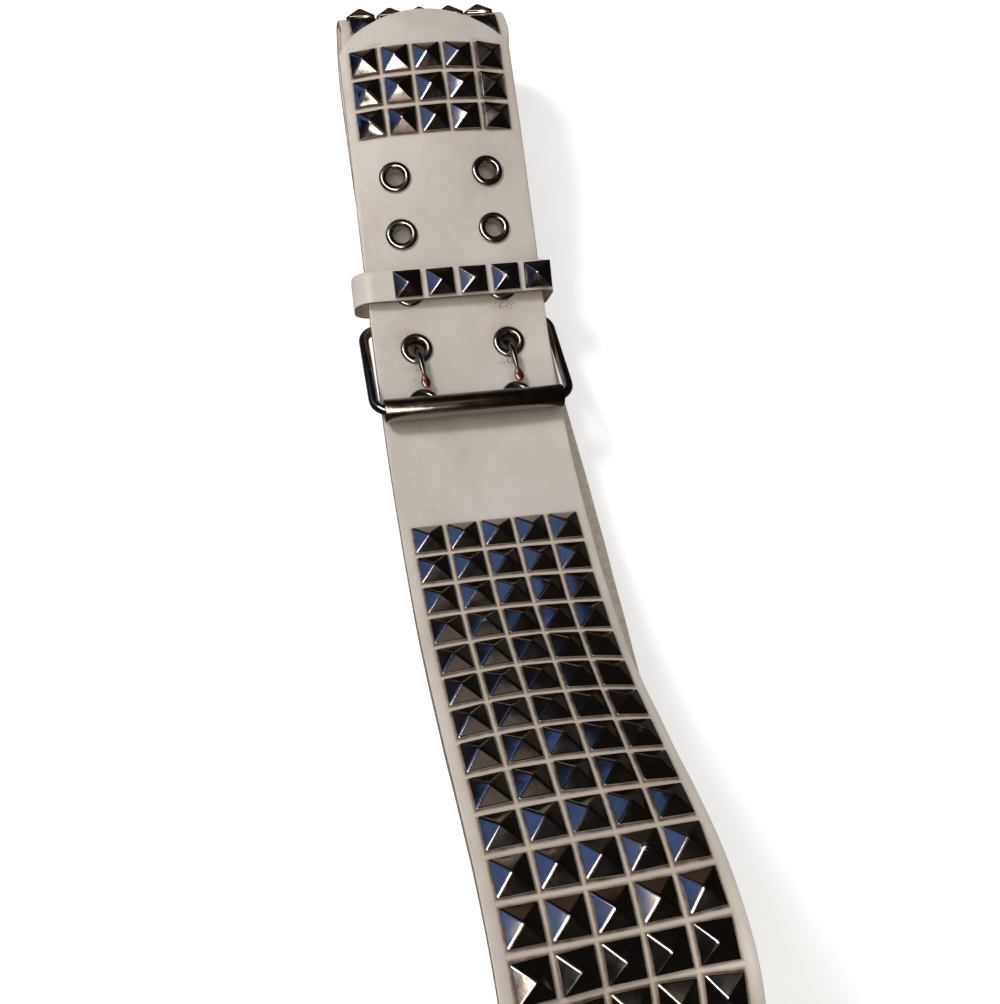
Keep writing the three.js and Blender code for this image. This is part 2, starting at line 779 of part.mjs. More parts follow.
function addPiece(group, name, geometry, finish) {
  const mesh = new THREE.Mesh(geometry, new THREE.MeshStandardMaterial({ name, ...finish }));
  mesh.name = name;
  group.add(mesh);
  return mesh;
}

const belt = new THREE.Group();

addPiece(belt, "strap", strapGeometry(), leather);

const keeper = addPiece(belt, "keeper", keeperGeometry(), leather);
keeper.applyMatrix4(strapMatrix(-pinToKeeper, 0, 0));

for (const place of eyeletPlaces) {
  const eyelet = addPiece(belt, place.name, eyeletGeometry(), gunmetal);
  eyelet.applyMatrix4(place.matrix);
}

const buckle = new THREE.Group();
belt.add(buckle);
addPiece(buckle, "buckle_frame", frameGeometry(), gunmetal);
const roller = addPiece(buckle, "roller", rollerGeometry(), darkSteel);
roller.position.copy(rollerMiddle);
addPiece(buckle, "prong_left", prongGeometry(-1), darkSteel);
addPiece(buckle, "prong_right", prongGeometry(1), darkSteel);

// The origin is the middle of the belt's box, on the table
const box = new THREE.Box3().setFromObject(belt, true);
const middle = box.getCenter(new THREE.Vector3());
belt.position.set(-middle.x, -middle.y, -box.min.z);

export default belt;
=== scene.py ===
# %% [markdown]
# # A studded belt, buckled and laid on a table
#
# The real belt starts as a flat strip of white coated leather. Its holes are punched, its eyelets and
# studs are set, and only then is it bent round and buckled. This lesson follows that order: the strip is
# modelled flat, where it is easy to shape, and then every point of it is moved on to the bent run that
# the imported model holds. The metal pieces are modelled once each and copied to their places.

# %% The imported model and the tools
import math
import random

import bmesh
import bpy
import numpy as np
from mathutils import Matrix, Quaternion, Vector
from mathutils.kdtree import KDTree


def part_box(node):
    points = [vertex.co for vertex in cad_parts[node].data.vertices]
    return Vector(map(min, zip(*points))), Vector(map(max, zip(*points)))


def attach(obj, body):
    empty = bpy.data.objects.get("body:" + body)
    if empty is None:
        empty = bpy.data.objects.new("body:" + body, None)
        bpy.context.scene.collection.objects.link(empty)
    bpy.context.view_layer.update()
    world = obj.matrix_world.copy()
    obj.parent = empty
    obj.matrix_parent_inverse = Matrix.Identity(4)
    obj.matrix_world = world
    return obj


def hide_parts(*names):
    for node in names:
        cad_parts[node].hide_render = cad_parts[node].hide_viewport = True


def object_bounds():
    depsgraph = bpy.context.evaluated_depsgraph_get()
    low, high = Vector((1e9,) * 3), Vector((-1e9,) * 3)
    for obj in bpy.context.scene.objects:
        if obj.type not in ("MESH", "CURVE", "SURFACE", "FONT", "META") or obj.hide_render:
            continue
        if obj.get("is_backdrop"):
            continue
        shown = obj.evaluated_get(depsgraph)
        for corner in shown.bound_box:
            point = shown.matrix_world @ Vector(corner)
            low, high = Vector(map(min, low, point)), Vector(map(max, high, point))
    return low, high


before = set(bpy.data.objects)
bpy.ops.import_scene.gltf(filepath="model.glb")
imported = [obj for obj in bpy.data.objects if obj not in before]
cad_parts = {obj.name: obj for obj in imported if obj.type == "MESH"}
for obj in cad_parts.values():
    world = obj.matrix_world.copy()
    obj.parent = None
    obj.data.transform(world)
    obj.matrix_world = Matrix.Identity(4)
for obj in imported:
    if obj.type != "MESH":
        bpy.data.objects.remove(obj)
cad_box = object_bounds()
MM = 0.001
print("nodes:", ", ".join(sorted(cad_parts)))

# %% [markdown]
# ## Small helpers
#
# An operator acts on whatever is selected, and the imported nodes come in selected. So each step first
# selects just what it needs: one object, and then the faces or edges that pass a test.


# %% Helpers for selecting
def only(obj):
    """Selects one object and makes it the active one"""
    bpy.ops.object.select_all(action="DESELECT")
    obj.select_set(True)
    bpy.context.view_layer.objects.active = obj
    return obj


def newest(name):
    """Names the object that an operator has just made"""
    obj = bpy.context.object
    obj.name = name
    obj.data.name = name
    return obj


def edit(obj, kind, test):
    """Enters edit mode with the vertices, edges or faces selected that pass a test"""
    only(obj)
    bpy.ops.object.mode_set(mode="EDIT")
    bpy.ops.mesh.select_mode(type=kind)
    bpy.ops.mesh.select_all(action="DESELECT")
    shape = bmesh.from_edit_mesh(obj.data)
    for part in {"VERT": shape.verts, "EDGE": shape.edges, "FACE": shape.faces}[kind]:
        part.select_set(bool(test(part)))
    shape.select_flush_mode()
    bmesh.update_edit_mesh(obj.data)


def leave():
    bpy.ops.object.mode_set(mode="OBJECT")


# %% Helpers for finishing
def finish_with(obj, kind, **settings):
    """Adds a modifier with its settings and applies it"""
    only(obj)
    modifier = obj.modifiers.new(kind.title(), kind)
    for key, value in settings.items():
        setattr(modifier, key, value)
    bpy.ops.object.modifier_apply(modifier=modifier.name)


def points_of(obj):
    places = np.zeros(3 * len(obj.data.vertices))
    obj.data.vertices.foreach_get("co", places)
    return places.reshape(-1, 3)


def set_points(obj, places):
    obj.data.vertices.foreach_set("co", places.astype(np.float32).ravel())
    obj.data.update()


def in_scene(name, data):
    """An object in the scene for a mesh, a curve, a camera or a light"""
    obj = bpy.data.objects.new(name, data)
    bpy.context.scene.collection.objects.link(obj)
    return obj


def close_up(obj):
    """Merges the points that meet and turns every face outwards"""
    edit(obj, "VERT", lambda v: True)
    bpy.ops.mesh.remove_doubles(threshold=0.01 * MM)
    bpy.ops.mesh.normals_make_consistent(inside=False)
    leave()


def note(obj, name, values):
    """Keeps one number for each point of a piece, for its finish to read"""
    numbers = obj.data.attributes.new(name, "FLOAT", "POINT")
    numbers.data.foreach_set("value", np.asarray(values, dtype=np.float32))


def set_map(obj, places):
    """Gives a piece a map of its own, from two numbers for each point"""
    layer = obj.data.uv_layers.get("rows") or obj.data.uv_layers.new(name="rows")
    corner_points = np.zeros(len(obj.data.loops), dtype=np.int64)
    obj.data.loops.foreach_get("vertex_index", corner_points)
    layer.data.foreach_set("uv", places[corner_points].ravel())
    return layer


def join(parts, name):
    """Joins pieces of one kind into one mesh"""
    bpy.ops.object.select_all(action="DESELECT")
    for part in parts:
        part.select_set(True)
    bpy.context.view_layer.objects.active = parts[0]
    bpy.ops.object.join()
    return newest(name)


def smooth_shading(obj, degrees):
    only(obj)
    bpy.ops.object.shade_smooth_by_angle(angle=math.radians(degrees))


# %% [markdown]
# ## The camera
#
# The photograph was taken from above and a little to the left of the belt, from about 37 cm away. The
# camera stands at a fixed place from the middle of the pair of eyelets that the prongs go through.

# %% Camera
pinned_low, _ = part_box("eyelet_4_left")
_, pinned_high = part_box("eyelet_4_right")
pinned_middle = (pinned_low + pinned_high) / 2
CAMERA_FROM_PINS = Vector((-59.2, -174.2, 320.8)) * MM
CAMERA_TURN = math.radians(-28.61)
CAMERA_TILT = math.radians(22.27)
CAMERA_ROLL = math.radians(20.65)
SENSOR = 36.0
FOCAL_PIXELS = 1045.4
LONG_SIDE_PIXELS = 1004.0

camera_data = bpy.data.cameras.new("camera")
camera_data.sensor_width = SENSOR
camera_data.sensor_fit = "AUTO"
camera_data.lens = SENSOR * FOCAL_PIXELS / LONG_SIDE_PIXELS
camera = in_scene("camera", camera_data)
camera.matrix_world = (
    Matrix.Translation(pinned_middle + CAMERA_FROM_PINS)
    @ Matrix.Rotation(CAMERA_TURN, 4, "Z")
    @ Matrix.Rotation(CAMERA_TILT, 4, "X")
    @ Matrix.Rotation(CAMERA_ROLL, 4, "Z")
)
bpy.context.scene.camera = camera
print("camera at", [round(c / MM, 1) for c in camera.matrix_world.translation], "mm")

# %% [markdown]
# ## Reading the strap's run
#
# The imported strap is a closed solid. Its two side walls are strips of faces between an outer and an inner
# edge, and the short edges across such a wall all have the leather's thickness. Walking along those short
# edges gives lines across the strap, each with a left and a right end and a direction out of the face.
# A crowned section stands above the chord between its two ends, and the corners beside the middle studs
# tell by how much.

# %% Sizes of the strap and its pattern
THICKNESS = 2.8 * MM
WIDTH = 62 * MM
HALF_WIDTH = WIDTH / 2
STUD_SIDE = 9.5 * MM
COLUMN_PITCH = 11.2 * MM
ROW_PITCH = 11.6 * MM
print("strap:", round(WIDTH / MM), "by", round(THICKNESS / MM, 1), "mm, studs", STUD_SIDE / MM, "mm")


# %% The two walls of the strap
def merged_copy(node):
    """The node's triangles, joined where they meet, in a mesh of its own"""
    shape = bmesh.new()
    shape.from_mesh(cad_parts[node].data)
    bmesh.ops.remove_doubles(shape, verts=shape.verts, dist=0.002 * MM)
    return shape


def wall_chains(shape):
    """The two longest runs of side by side edges that have the leather's thickness"""
    tolerance = 0.02 * MM
    rungs = [e for e in shape.edges if abs(e.calc_length() - THICKNESS) < tolerance]
    at_vertex = {}
    for rung in rungs:
        for vertex in rung.verts:
            at_vertex.setdefault(vertex, []).append(rung)
    beside = {rung: set() for rung in rungs}
    for rung in rungs:
        first, second = rung.verts
        near_first = {r for e in first.link_edges for r in at_vertex.get(e.other_vert(first), ())}
        near_second = {r for e in second.link_edges for r in at_vertex.get(e.other_vert(second), ())}
        beside[rung] = {
            other for other in near_first & near_second - {rung}
            if not set(other.verts) & set(rung.verts)
        }
    chains = []
    left_over = set(rungs)
    for start in sorted(rungs, key=lambda r: (len(beside[r]), r.index)):
        if start not in left_over:
            continue
        chain = []
        ahead = [start]
        while ahead:
            rung = ahead.pop()
            if rung in left_over:
                left_over.discard(rung)
                chain.append(rung)
                ahead.extend(sorted(beside[rung] & left_over, key=lambda r: r.index))
        chains.append(chain)
    return sorted(chains, key=len)[-2:]


strap_shape = merged_copy("strap")
strap_shape.edges.index_update()
chains = wall_chains(strap_shape)
chains = [c if c[0].verts[0].co.y > c[-1].verts[0].co.y else c[::-1] for c in chains]
chains.sort(key=lambda chain: np.mean([rung.verts[0].co.x for rung in chain]))
print("lines across the strap:", [len(chain) for chain in chains])

# %% Middle and directions of each line
rungs = np.array([[[v.co[:] for v in rung.verts] for rung in chain] for chain in chains])
rung_middles = rungs.mean(axis=2)


def unit(vectors):
    return vectors / np.linalg.norm(vectors, axis=-1, keepdims=True)


line_across = unit(rung_middles[1] - rung_middles[0])
line_along = unit(np.gradient(rung_middles.mean(axis=0), axis=0))
line_out = unit(np.cross(line_along, line_across))
heights = np.einsum("slvc,lc->slv", rungs, line_out)
outer_is_second = (heights[..., 1] > heights[..., 0])[..., None]
outer = np.where(outer_is_second, rungs[:, :, 1], rungs[:, :, 0])
inner = np.where(outer_is_second, rungs[:, :, 0], rungs[:, :, 1])
line_out = unit((outer - inner).mean(axis=0))
line_middle = outer.mean(axis=0)
line_across = unit(outer[1] - outer[0])
line_half = np.linalg.norm(outer[1] - outer[0], axis=1) / 2
line_steps = np.linalg.norm(np.diff(line_middle, axis=0), axis=1)
line_length = np.concatenate([[0], np.cumsum(line_steps)])
print("strap length:", round(line_length[-1] / MM, 1), "mm")

# %% The crown of each line
finder = KDTree(len(strap_shape.verts))
for number, vertex in enumerate(strap_shape.verts):
    finder.insert(vertex.co, number)
finder.balance()


def rise_of(i):
    """How far the middle of line i stands above the chord between its ends"""
    reach = 6 * MM
    in_line = 0.15 * MM
    side = STUD_SIDE / 2 * line_half[i] / HALF_WIDTH
    found = []
    for place, _, _ in finder.find_range(Vector(line_middle[i]), reach + side):
        offset = np.array(place) - line_middle[i]
        across = abs(offset @ line_across[i]) - side
        up = offset @ line_out[i]
        ahead = offset @ np.cross(line_across[i], line_out[i])
        if abs(across) < in_line and abs(ahead) < in_line and abs(up) < reach:
            found.append(up)
    share = STUD_SIDE / WIDTH
    return min(found) / (1 - share * share) if found else None


rises = [rise_of(i) for i in range(len(line_middle))]
known = [i for i, rise in enumerate(rises) if rise is not None]
line_rise = np.interp(range(len(rises)), known, [rises[i] for i in known])
print("crowns from", round(line_rise.min() / MM, 2), "to", round(line_rise.max() / MM, 2), "mm")


# %% Any point of the bent strap
def between(values, at):
    """Smooth values between the lines, and straight on beyond the first and the last"""
    slopes = np.gradient(values, line_length, axis=0)
    index = np.clip(np.searchsorted(line_length, at, side="right") - 1, 0, len(line_length) - 2)
    step = line_length[index + 1] - line_length[index]
    t = np.clip((at - line_length[index]) / step, 0, 1)
    beyond = at - (line_length[index] + t * step)
    before = at < 0
    if values.ndim > 1:
        t, step, beyond, before = t[:, None], step[:, None], beyond[:, None], before[:, None]
    end_slope = np.where(before, slopes[0], slopes[-1])
    start = (2 * t**3 - 3 * t**2 + 1) * values[index] + (t**3 - 2 * t**2 + t) * step * slopes[index]
    end = (3 * t**2 - 2 * t**3) * values[index + 1] + (t**3 - t**2) * step * slopes[index + 1]
    return start + end + beyond * end_slope


def bent(flat):
    """Moves flat points on to the bent strap: x across it, y towards the tip, z out of its face"""
    side, length, height = flat[:, 0] / HALF_WIDTH, -flat[:, 1], flat[:, 2]
    middle = between(line_middle, length)
    across = unit(between(line_across, length))
    out = unit(between(line_out, length))
    half = between(line_half, length)
    rise = between(line_rise, length)
    return (middle + across * (side * half)[:, None]
            + out * (height + rise * (1 - side * side))[:, None])


def strap_place(side, length, height=0.0):
    """A matrix that stands a piece on the bent strap: x across it, y towards the tip, z out of its face"""
    step = 0.5 * MM
    here, tipwards, rightwards = bent(np.array([
        [side, -length, height], [side, -length + step, height], [side + step, -length, height]]))
    toward_tip = Vector(tipwards - here).normalized()
    across = Vector(rightwards - here).normalized()
    out = across.cross(toward_tip).normalized()
    across = toward_tip.cross(out)
    turned = Matrix((across, toward_tip, out)).transposed().to_4x4()
    return Matrix.Translation(Vector(here)) @ turned


def flat_place(point):
    """Where a point on the bent strap lies on the flat strip: side and length"""
    fine_step = 0.1 * MM
    samples = np.arange(0, line_length[-1], fine_step)
    offset = np.array(point) - between(line_middle, samples)
    side = np.einsum("ij,ij->i", offset, unit(between(line_across, samples)))
    half = between(line_half, samples)
    share = np.clip(side / half, -1, 1)
    surface = bent(np.column_stack([share * HALF_WIDTH, -samples, np.zeros(len(samples))]))
    nearest = int(np.argmin(np.linalg.norm(np.array(point) - surface, axis=1)))
    return float(share[nearest] * HALF_WIDTH), float(samples[nearest])


print("the strap's tip is at", [round(c / MM, 1) for c in bent(np.zeros((1, 3)))[0]], "mm")

# %% [markdown]
# ## Where the studs stand
#
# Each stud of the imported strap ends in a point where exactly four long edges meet. The four far ends of
# these edges are the stud's upper corners, so they give its middle, its turn and its tilt.

# %% Places of the studs
STUD_SKIRT = 1.0 * MM
STUD_HEIGHT = 3.45 * MM
ROW_SHIFT = 1.3 * MM
COLUMNS = (-2, -1, 0, 1, 2)


def stud_places(shape):
    """A matrix for each stud: x across the strap, z out of its face, the origin in its foot"""
    places = []
    shortest, longest = 6.7 * MM, 7.9 * MM
    for apex in shape.verts:
        spokes = apex.link_edges
        if len(spokes) != 4 or not all(shortest < e.calc_length() < longest for e in spokes):
            continue
        corners = sorted((e.other_vert(apex).co.copy() for e in spokes), key=lambda c: c.x)
        middle = sum(corners, Vector()) / 4
        across = (corners[2] + corners[3] - corners[0] - corners[1]).normalized()
        out = (apex.co - middle).normalized()
        toward_tip = out.cross(across).normalized()
        across = toward_tip.cross(out)
        turned = Matrix((across, toward_tip, out)).transposed().to_4x4()
        places.append(Matrix.Translation(middle - out * STUD_SKIRT) @ turned)
    return places


packed_studs = stud_places(strap_shape)
keeper_shape = merged_copy("keeper")
keeper_studs = sorted(stud_places(keeper_shape), key=lambda place: place.translation.x)
stud_lengths = [flat_place(place.translation) for place in packed_studs]
print("studs found on the strap:", len(packed_studs), "and on the keeper:", len(keeper_studs))

# %% Rows of studs, as a scale along the strip
# The finishes need to know where the rows are, so the strip's map counts rows and columns, and a stud's
# middle has whole numbers there.
sorted_lengths = sorted(length for _, length in stud_lengths)
row_lengths = []
for length in sorted_lengths:
    if not row_lengths or length - row_lengths[-1][-1] > ROW_PITCH / 2:
        row_lengths.append([])
    row_lengths[-1].append(length)
row_lengths = [float(np.mean(row)) for row in row_lengths]
row_gaps = np.diff(row_lengths)
first_field_row = int(np.argmax(row_gaps)) + 1
plain_rows = round(float(row_gaps.max()) / ROW_PITCH)
row_numbers = [
    i - first_field_row if i >= first_field_row else i - first_field_row - plain_rows + 1
    for i in range(len(row_lengths))
]
row_lengths = [length + ROW_SHIFT for length in row_lengths]
print("rows of studs:", len(row_lengths), "of which", first_field_row, "on the tip")


def row_number(length):
    """Row numbers, straight on beyond the first and the last row"""
    inside = np.interp(length, row_lengths, row_numbers)
    before = np.minimum(length - row_lengths[0], 0) / ROW_PITCH
    after = np.maximum(length - row_lengths[-1], 0) / ROW_PITCH
    return inside + before + after


# %% [markdown]
# ## The leather strip
#
# A grid is the natural start for a strip: it has the strip's cut size and enough faces to bend smoothly.
# Its rows near the end are pulled into the rounded tip. Solidify gives it the leather's thickness, with
# materials of their own for the cut edge and the back. A small bevel takes the sharpness off, the holes
# and the two prong slots are punched while it is flat, and then it is bent.

# %% The flat strip
TIP_ARC_RADIUS = 48 * MM
TIP_ZONE = 6 * MM
CORNER_START = 26 * MM
CORNER_DROP = 2.6 * MM


def arc_drop(side):
    return TIP_ARC_RADIUS - np.sqrt(TIP_ARC_RADIUS**2 - side**2)


tip_reach = float(arc_drop(np.array(HALF_WIDTH)))
flat_length = line_length[-1] + tip_reach
cells_across, cells_along = 40, 500
bpy.ops.mesh.primitive_grid_add(
    x_subdivisions=cells_across, y_subdivisions=cells_along, size=1,
    location=(0, tip_reach - flat_length / 2, 0))
strap = newest("strap_leather")
strap.scale = (WIDTH, flat_length, 1)
only(strap)
bpy.ops.object.transform_apply(location=True, rotation=True, scale=True)

flat = points_of(strap)
side, length = flat[:, 0], -flat[:, 1]
corner = np.clip((np.abs(side) - CORNER_START) / (HALF_WIDTH - CORNER_START), 0, 1)
tip_line = arc_drop(side) - tip_reach + CORNER_DROP * corner**2
share = np.clip((length + tip_reach) / (TIP_ZONE + tip_reach), 0, 1)
length = np.where(length < TIP_ZONE, tip_line + (TIP_ZONE - tip_line) * share, length)
flat[:, 1] = -length
set_points(strap, flat)
print("flat strip:", round(flat_length / MM), "mm long, with", len(flat), "points")


def is_sharp(edge):
    """True for an edge between two faces that meet at a marked angle"""
    return len(edge.link_faces) == 2 and edge.calc_face_angle(0) > math.radians(60)


# %% Thickness and softened edges
LEATHER_SIDES = ("face", "cut edge", "back")
for _ in LEATHER_SIDES:
    strap.data.materials.append(None)
finish_with(strap, "SOLIDIFY", thickness=THICKNESS, offset=-1, material_offset=2,
            material_offset_rim=1, use_even_offset=False)
edit(strap, "EDGE", is_sharp)
bpy.ops.mesh.bevel(offset=0.45 * MM, segments=2, affect="EDGES")
leave()
print("flat strip:", len(strap.data.polygons), "faces")

# %% Where the holes and the fold are
EYELET_NAMES = [f"eyelet_{pair}_{side}" for pair in range(1, 6) for side in ("left", "right")]
eyelet_flat = {}
for name in EYELET_NAMES:
    low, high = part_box(name)
    eyelet_flat[name] = flat_place((low + high) / 2)
roller_low, roller_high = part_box("roller")
frame_low, frame_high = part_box("buckle_frame")
WIRE_RADIUS = 1.7 * MM
roller_middle = (roller_low + roller_high) / 2
heel_middle = Vector((roller_middle.x, frame_high.y - WIRE_RADIUS, frame_low.z + WIRE_RADIUS))
TURNED_BACK = 80 * MM
samples = np.linspace(line_length[-1] - TURNED_BACK, line_length[-1], 400)
heel_gaps = np.linalg.norm(between(line_middle, samples) - np.array(heel_middle), axis=1)
at_fold = between(line_middle, samples)[:, 1] < heel_middle.y
fold_length = float(samples[at_fold][int(np.argmin(heel_gaps[at_fold]))])
print("eyelets:", len(eyelet_flat), "and the fold is", round(fold_length / MM), "mm along the strip")

# %% Holes and slots
HOLE_RADIUS = 3.9 * MM
PUNCH_DEPTH = 4 * THICKNESS
SLOT_LENGTH = 13 * MM
SLOT_WIDTH = 3.4 * MM
punches = []
for side, length in eyelet_flat.values():
    bpy.ops.mesh.primitive_cylinder_add(
        vertices=32, radius=HOLE_RADIUS, depth=PUNCH_DEPTH, location=(side, -length, 0))
    punches.append(newest("punch"))
eyelet_side = eyelet_flat["eyelet_4_right"][0]
for sign in (-1, 1):
    bpy.ops.mesh.primitive_cube_add(size=1, location=(sign * eyelet_side, -fold_length, 0))
    bpy.context.object.scale = (SLOT_WIDTH, SLOT_LENGTH, PUNCH_DEPTH)
    punches.append(newest("punch"))
punch = join(punches, "punch")
finish_with(strap, "BOOLEAN", object=punch, operation="DIFFERENCE", solver="EXACT")
bpy.data.objects.remove(punch)
print("punched strip:", len(strap.data.polygons), "faces")

# %% The strip's map
# The map has columns and rows, and an attribute says which points lie among the studs.
flat = points_of(strap)
for old in list(strap.data.uv_layers):
    strap.data.uv_layers.remove(old)
columns = flat[:, 0] / COLUMN_PITCH
rows = row_number(-flat[:, 1])
set_map(strap, np.column_stack([columns, rows])).active = True
row_gap = np.min(np.abs(rows[:, None] - np.array(row_numbers)[None, :]), axis=1)
note(strap, "studded", row_gap < 0.5)
print("rows on the map from", round(rows.min(), 1), "to", round(rows.max(), 1))

# %% Waves and the bend
# Real leather is never quite flat: it waves a little along its edges. Then every point goes to its place.
WAVE_LENGTHS = (23, 37, 61, 97)
WAVE_HEIGHTS = (0.05, 0.12)
ANY_START = (0, 6.3)
rng = np.random.default_rng(7)
length = -flat[:, 1]
wave = sum(
    rng.uniform(*WAVE_HEIGHTS) * np.sin(2 * math.pi * length / (apart * MM) + rng.uniform(*ANY_START))
    for apart in WAVE_LENGTHS)
edge_share = np.abs(flat[:, 0]) / HALF_WIDTH
sides = flat.copy()
sides[:, 2] += wave * MM * edge_share**3 * np.sign(flat[:, 0])
set_points(strap, bent(sides))
smooth_shading(strap, 50)
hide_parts("strap")
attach(strap, "root")
print("strap box:", [round(c / MM, 1) for c in points_of(strap).min(0)],
      [round(c / MM, 1) for c in points_of(strap).max(0)])

# %% [markdown]
# ## The pyramid studs
#
# A pyramid stud is pressed from sheet metal, so its four ridges and its point are a little round and a
# short skirt goes down into the leather. A four-sided cone is the right start. The ridges get a wide
# bevel, because the bright line along each stud is the light in that round, and the small flat at the
# top is poked up to a blunt point.

# %% One stud
def make_stud():
    """The stud that all others are copies of"""
    sunk = 0.35 * MM
    point_width = 1.2 * MM
    point_rise = 0.1 * MM
    height = STUD_HEIGHT - STUD_SKIRT - point_rise
    bpy.ops.mesh.primitive_cone_add(
        vertices=4, radius1=STUD_SIDE / math.sqrt(2), radius2=point_width / math.sqrt(2), depth=height,
        location=(0, 0, STUD_SKIRT + height / 2), rotation=(0, 0, math.pi / 4))
    stud = newest("stud")
    bpy.ops.object.transform_apply(location=True, rotation=True, scale=True)
    edit(stud, "FACE", lambda f: f.normal.z < -0.9)
    bpy.ops.mesh.extrude_region_move(TRANSFORM_OT_translate={"value": (0, 0, -STUD_SKIRT - sunk)})
    leave()
    skirt_level = 0.9 * STUD_SKIRT
    above_rim = 1.3 * STUD_SKIRT

    def is_ridge(e):
        low, high = sorted(v.co.z for v in e.verts)
        return low > skirt_level and high - low > height / 2

    edit(stud, "EDGE", is_ridge)
    bpy.ops.mesh.bevel(offset=0.55 * MM, segments=2, affect="EDGES", profile=0.5)
    leave()
    edit(stud, "FACE", lambda f: f.normal.z > 0.97)
    bpy.ops.mesh.poke(offset=point_rise)
    leave()

    def is_rim(e):
        levels = [v.co.z for v in e.verts]
        flat_edge = abs(levels[0] - levels[1]) < 0.3 * MM and skirt_level < min(levels) < above_rim
        return flat_edge and e.calc_face_angle(0) > math.radians(40)

    edit(stud, "EDGE", is_rim)
    bpy.ops.mesh.bevel(offset=0.22 * MM, segments=1, affect="EDGES", profile=0.5)
    leave()
    return stud


stud = make_stud()
print("one stud:", len(stud.data.polygons), "faces")


# %% A dented stud
# The dents are crossed waves of about 7 mm, 900 radians a metre, a little different on each stud.
DENT_DEPTH = 0.28 * MM
DENT_CUTS = 4
DENT_WAVE, WAVE_SPREAD, WAVE_SHIFT = 900, 300, 3
LARGE_FACE = (1.5 * MM) ** 2


def dent(piece, chance):
    """Knocks a stud about, so that its faces are no longer flat"""
    edit(piece, "FACE", lambda f: f.calc_area() > LARGE_FACE)
    bpy.ops.mesh.subdivide(number_cuts=DENT_CUTS)
    leave()
    places = points_of(piece)
    knock = np.array([chance.uniform(-1, 1) for _ in range(6)])
    blow = np.sin(places[:, 0] * (DENT_WAVE + WAVE_SPREAD * knock[0]) + WAVE_SHIFT * knock[1])
    blow = blow * np.sin(places[:, 1] * (DENT_WAVE + WAVE_SPREAD * knock[2]) + WAVE_SHIFT * knock[3])
    places[:, 2] -= DENT_DEPTH * (0.5 + 0.5 * blow) * (places[:, 2] > STUD_SKIRT * 1.2)
    set_points(piece, places)


# %% A field of studs
STUD_SETTLE = 1.1


def field_of_studs(places, name, seed, dented=(), marked=(), leans=None):
    """Copies the stud to each place, each tilted by a degree or so, and joins the copies"""
    chance = random.Random(seed)
    copies = []
    for number, place in enumerate(places):
        copy = in_scene(f"{name}_{number}", stud.data.copy())
        leaned = (leans or {}).get(number, 0)
        tilt = Matrix.Rotation(math.radians(chance.gauss(0, STUD_SETTLE)), 4, "X")
        lean = Matrix.Rotation(math.radians(leaned + chance.gauss(0, STUD_SETTLE)), 4, "Y")
        turn = Matrix.Rotation(math.radians(chance.gauss(0, STUD_SETTLE)), 4, "Z")
        if number in dented:
            dent(copy, chance)
        local = points_of(copy)
        point_share = np.clip((local[:, 2] - STUD_SKIRT) / (STUD_HEIGHT - STUD_SKIRT), 0, 1)
        shade = 1.0 if number in marked else 0.8 * chance.random()
        note(copy, "tone", np.full(len(local), shade))
        note(copy, "point", point_share)
        copy.data.transform(place @ tilt @ lean @ turn)
        copies.append(copy)
    field = join(copies, name)
    smooth_shading(field, 50)
    finish_with(field, "WEIGHTED_NORMAL", mode="FACE_AREA", weight=50, keep_sharp=True)
    return field


# %% The strap's studs
# A stud is named by its row and column. Those at the tip's right edge lean by so many degrees.
DENTED = ((row_numbers[1], -2), (row_numbers[2], -2))
RUBBED = ((10, 1), (3, -1), (7, 2))
TIP_EDGE_LEANS = {2: 8}
field_places = []
dented, marked, leans = [], [], {}
for row, length in zip(row_numbers, row_lengths):
    for column in COLUMNS:
        if (row, column) in DENTED:
            dented.append(len(field_places))
        if (row, column) in RUBBED:
            marked.append(len(field_places))
        if row < 0 and column in TIP_EDGE_LEANS:
            leans[len(field_places)] = TIP_EDGE_LEANS[column]
        field_places.append(strap_place(column * COLUMN_PITCH, length))
studs = field_of_studs(field_places, "strap_studs", seed=11, dented=dented, marked=marked, leans=leans)
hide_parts("strap")
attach(studs, "root")
print("studs on the strap:", len(field_places), "with", len(dented), "dented and", len(marked), "marked")

# %% [markdown]
# ## The eyelets
#
# An eyelet is a short tube with a rolled ring on the face and a flat one behind, so it is a profile turned
# once round: one loop of points, spun about the hole's axis.

# %% One eyelet
# The profile runs round the wall of the tube, in millimetres from the hole's axis and the leather's face.
EYELET_PROFILE = [
    {"radius": 3.00, "height": -3.60},
    {"radius": 4.90, "height": -4.00},
    {"radius": 5.20, "height": -3.75},
    {"radius": 5.20, "height": -3.25},
    {"radius": 3.55, "height": -3.15},
    {"radius": 3.55, "height": 0.20},
    {"radius": 5.45, "height": 0.12},
    {"radius": 5.65, "height": 0.30},
    {"radius": 5.55, "height": 0.62},
    {"radius": 5.15, "height": 0.98},
    {"radius": 4.60, "height": 1.18},
    {"radius": 4.05, "height": 1.16},
    {"radius": 3.55, "height": 0.92},
    {"radius": 3.18, "height": 0.50},
    {"radius": 3.00, "height": -0.10},
    {"radius": 2.95, "height": -1.60},
]


def make_eyelet():
    """The eyelet that all others are copies of"""
    bpy.ops.mesh.primitive_circle_add(vertices=len(EYELET_PROFILE), radius=1)
    eyelet = newest("eyelet")
    set_points(eyelet, np.array([[row["radius"] * MM, 0, row["height"] * MM] for row in EYELET_PROFILE]))
    edit(eyelet, "VERT", lambda v: True)
    bpy.ops.mesh.spin(steps=40, angle=2 * math.pi, center=(0, 0, 0), axis=(0, 0, 1))
    leave()
    close_up(eyelet)
    return eyelet


eyelet = make_eyelet()
print("one eyelet:", len(eyelet.data.polygons), "faces")

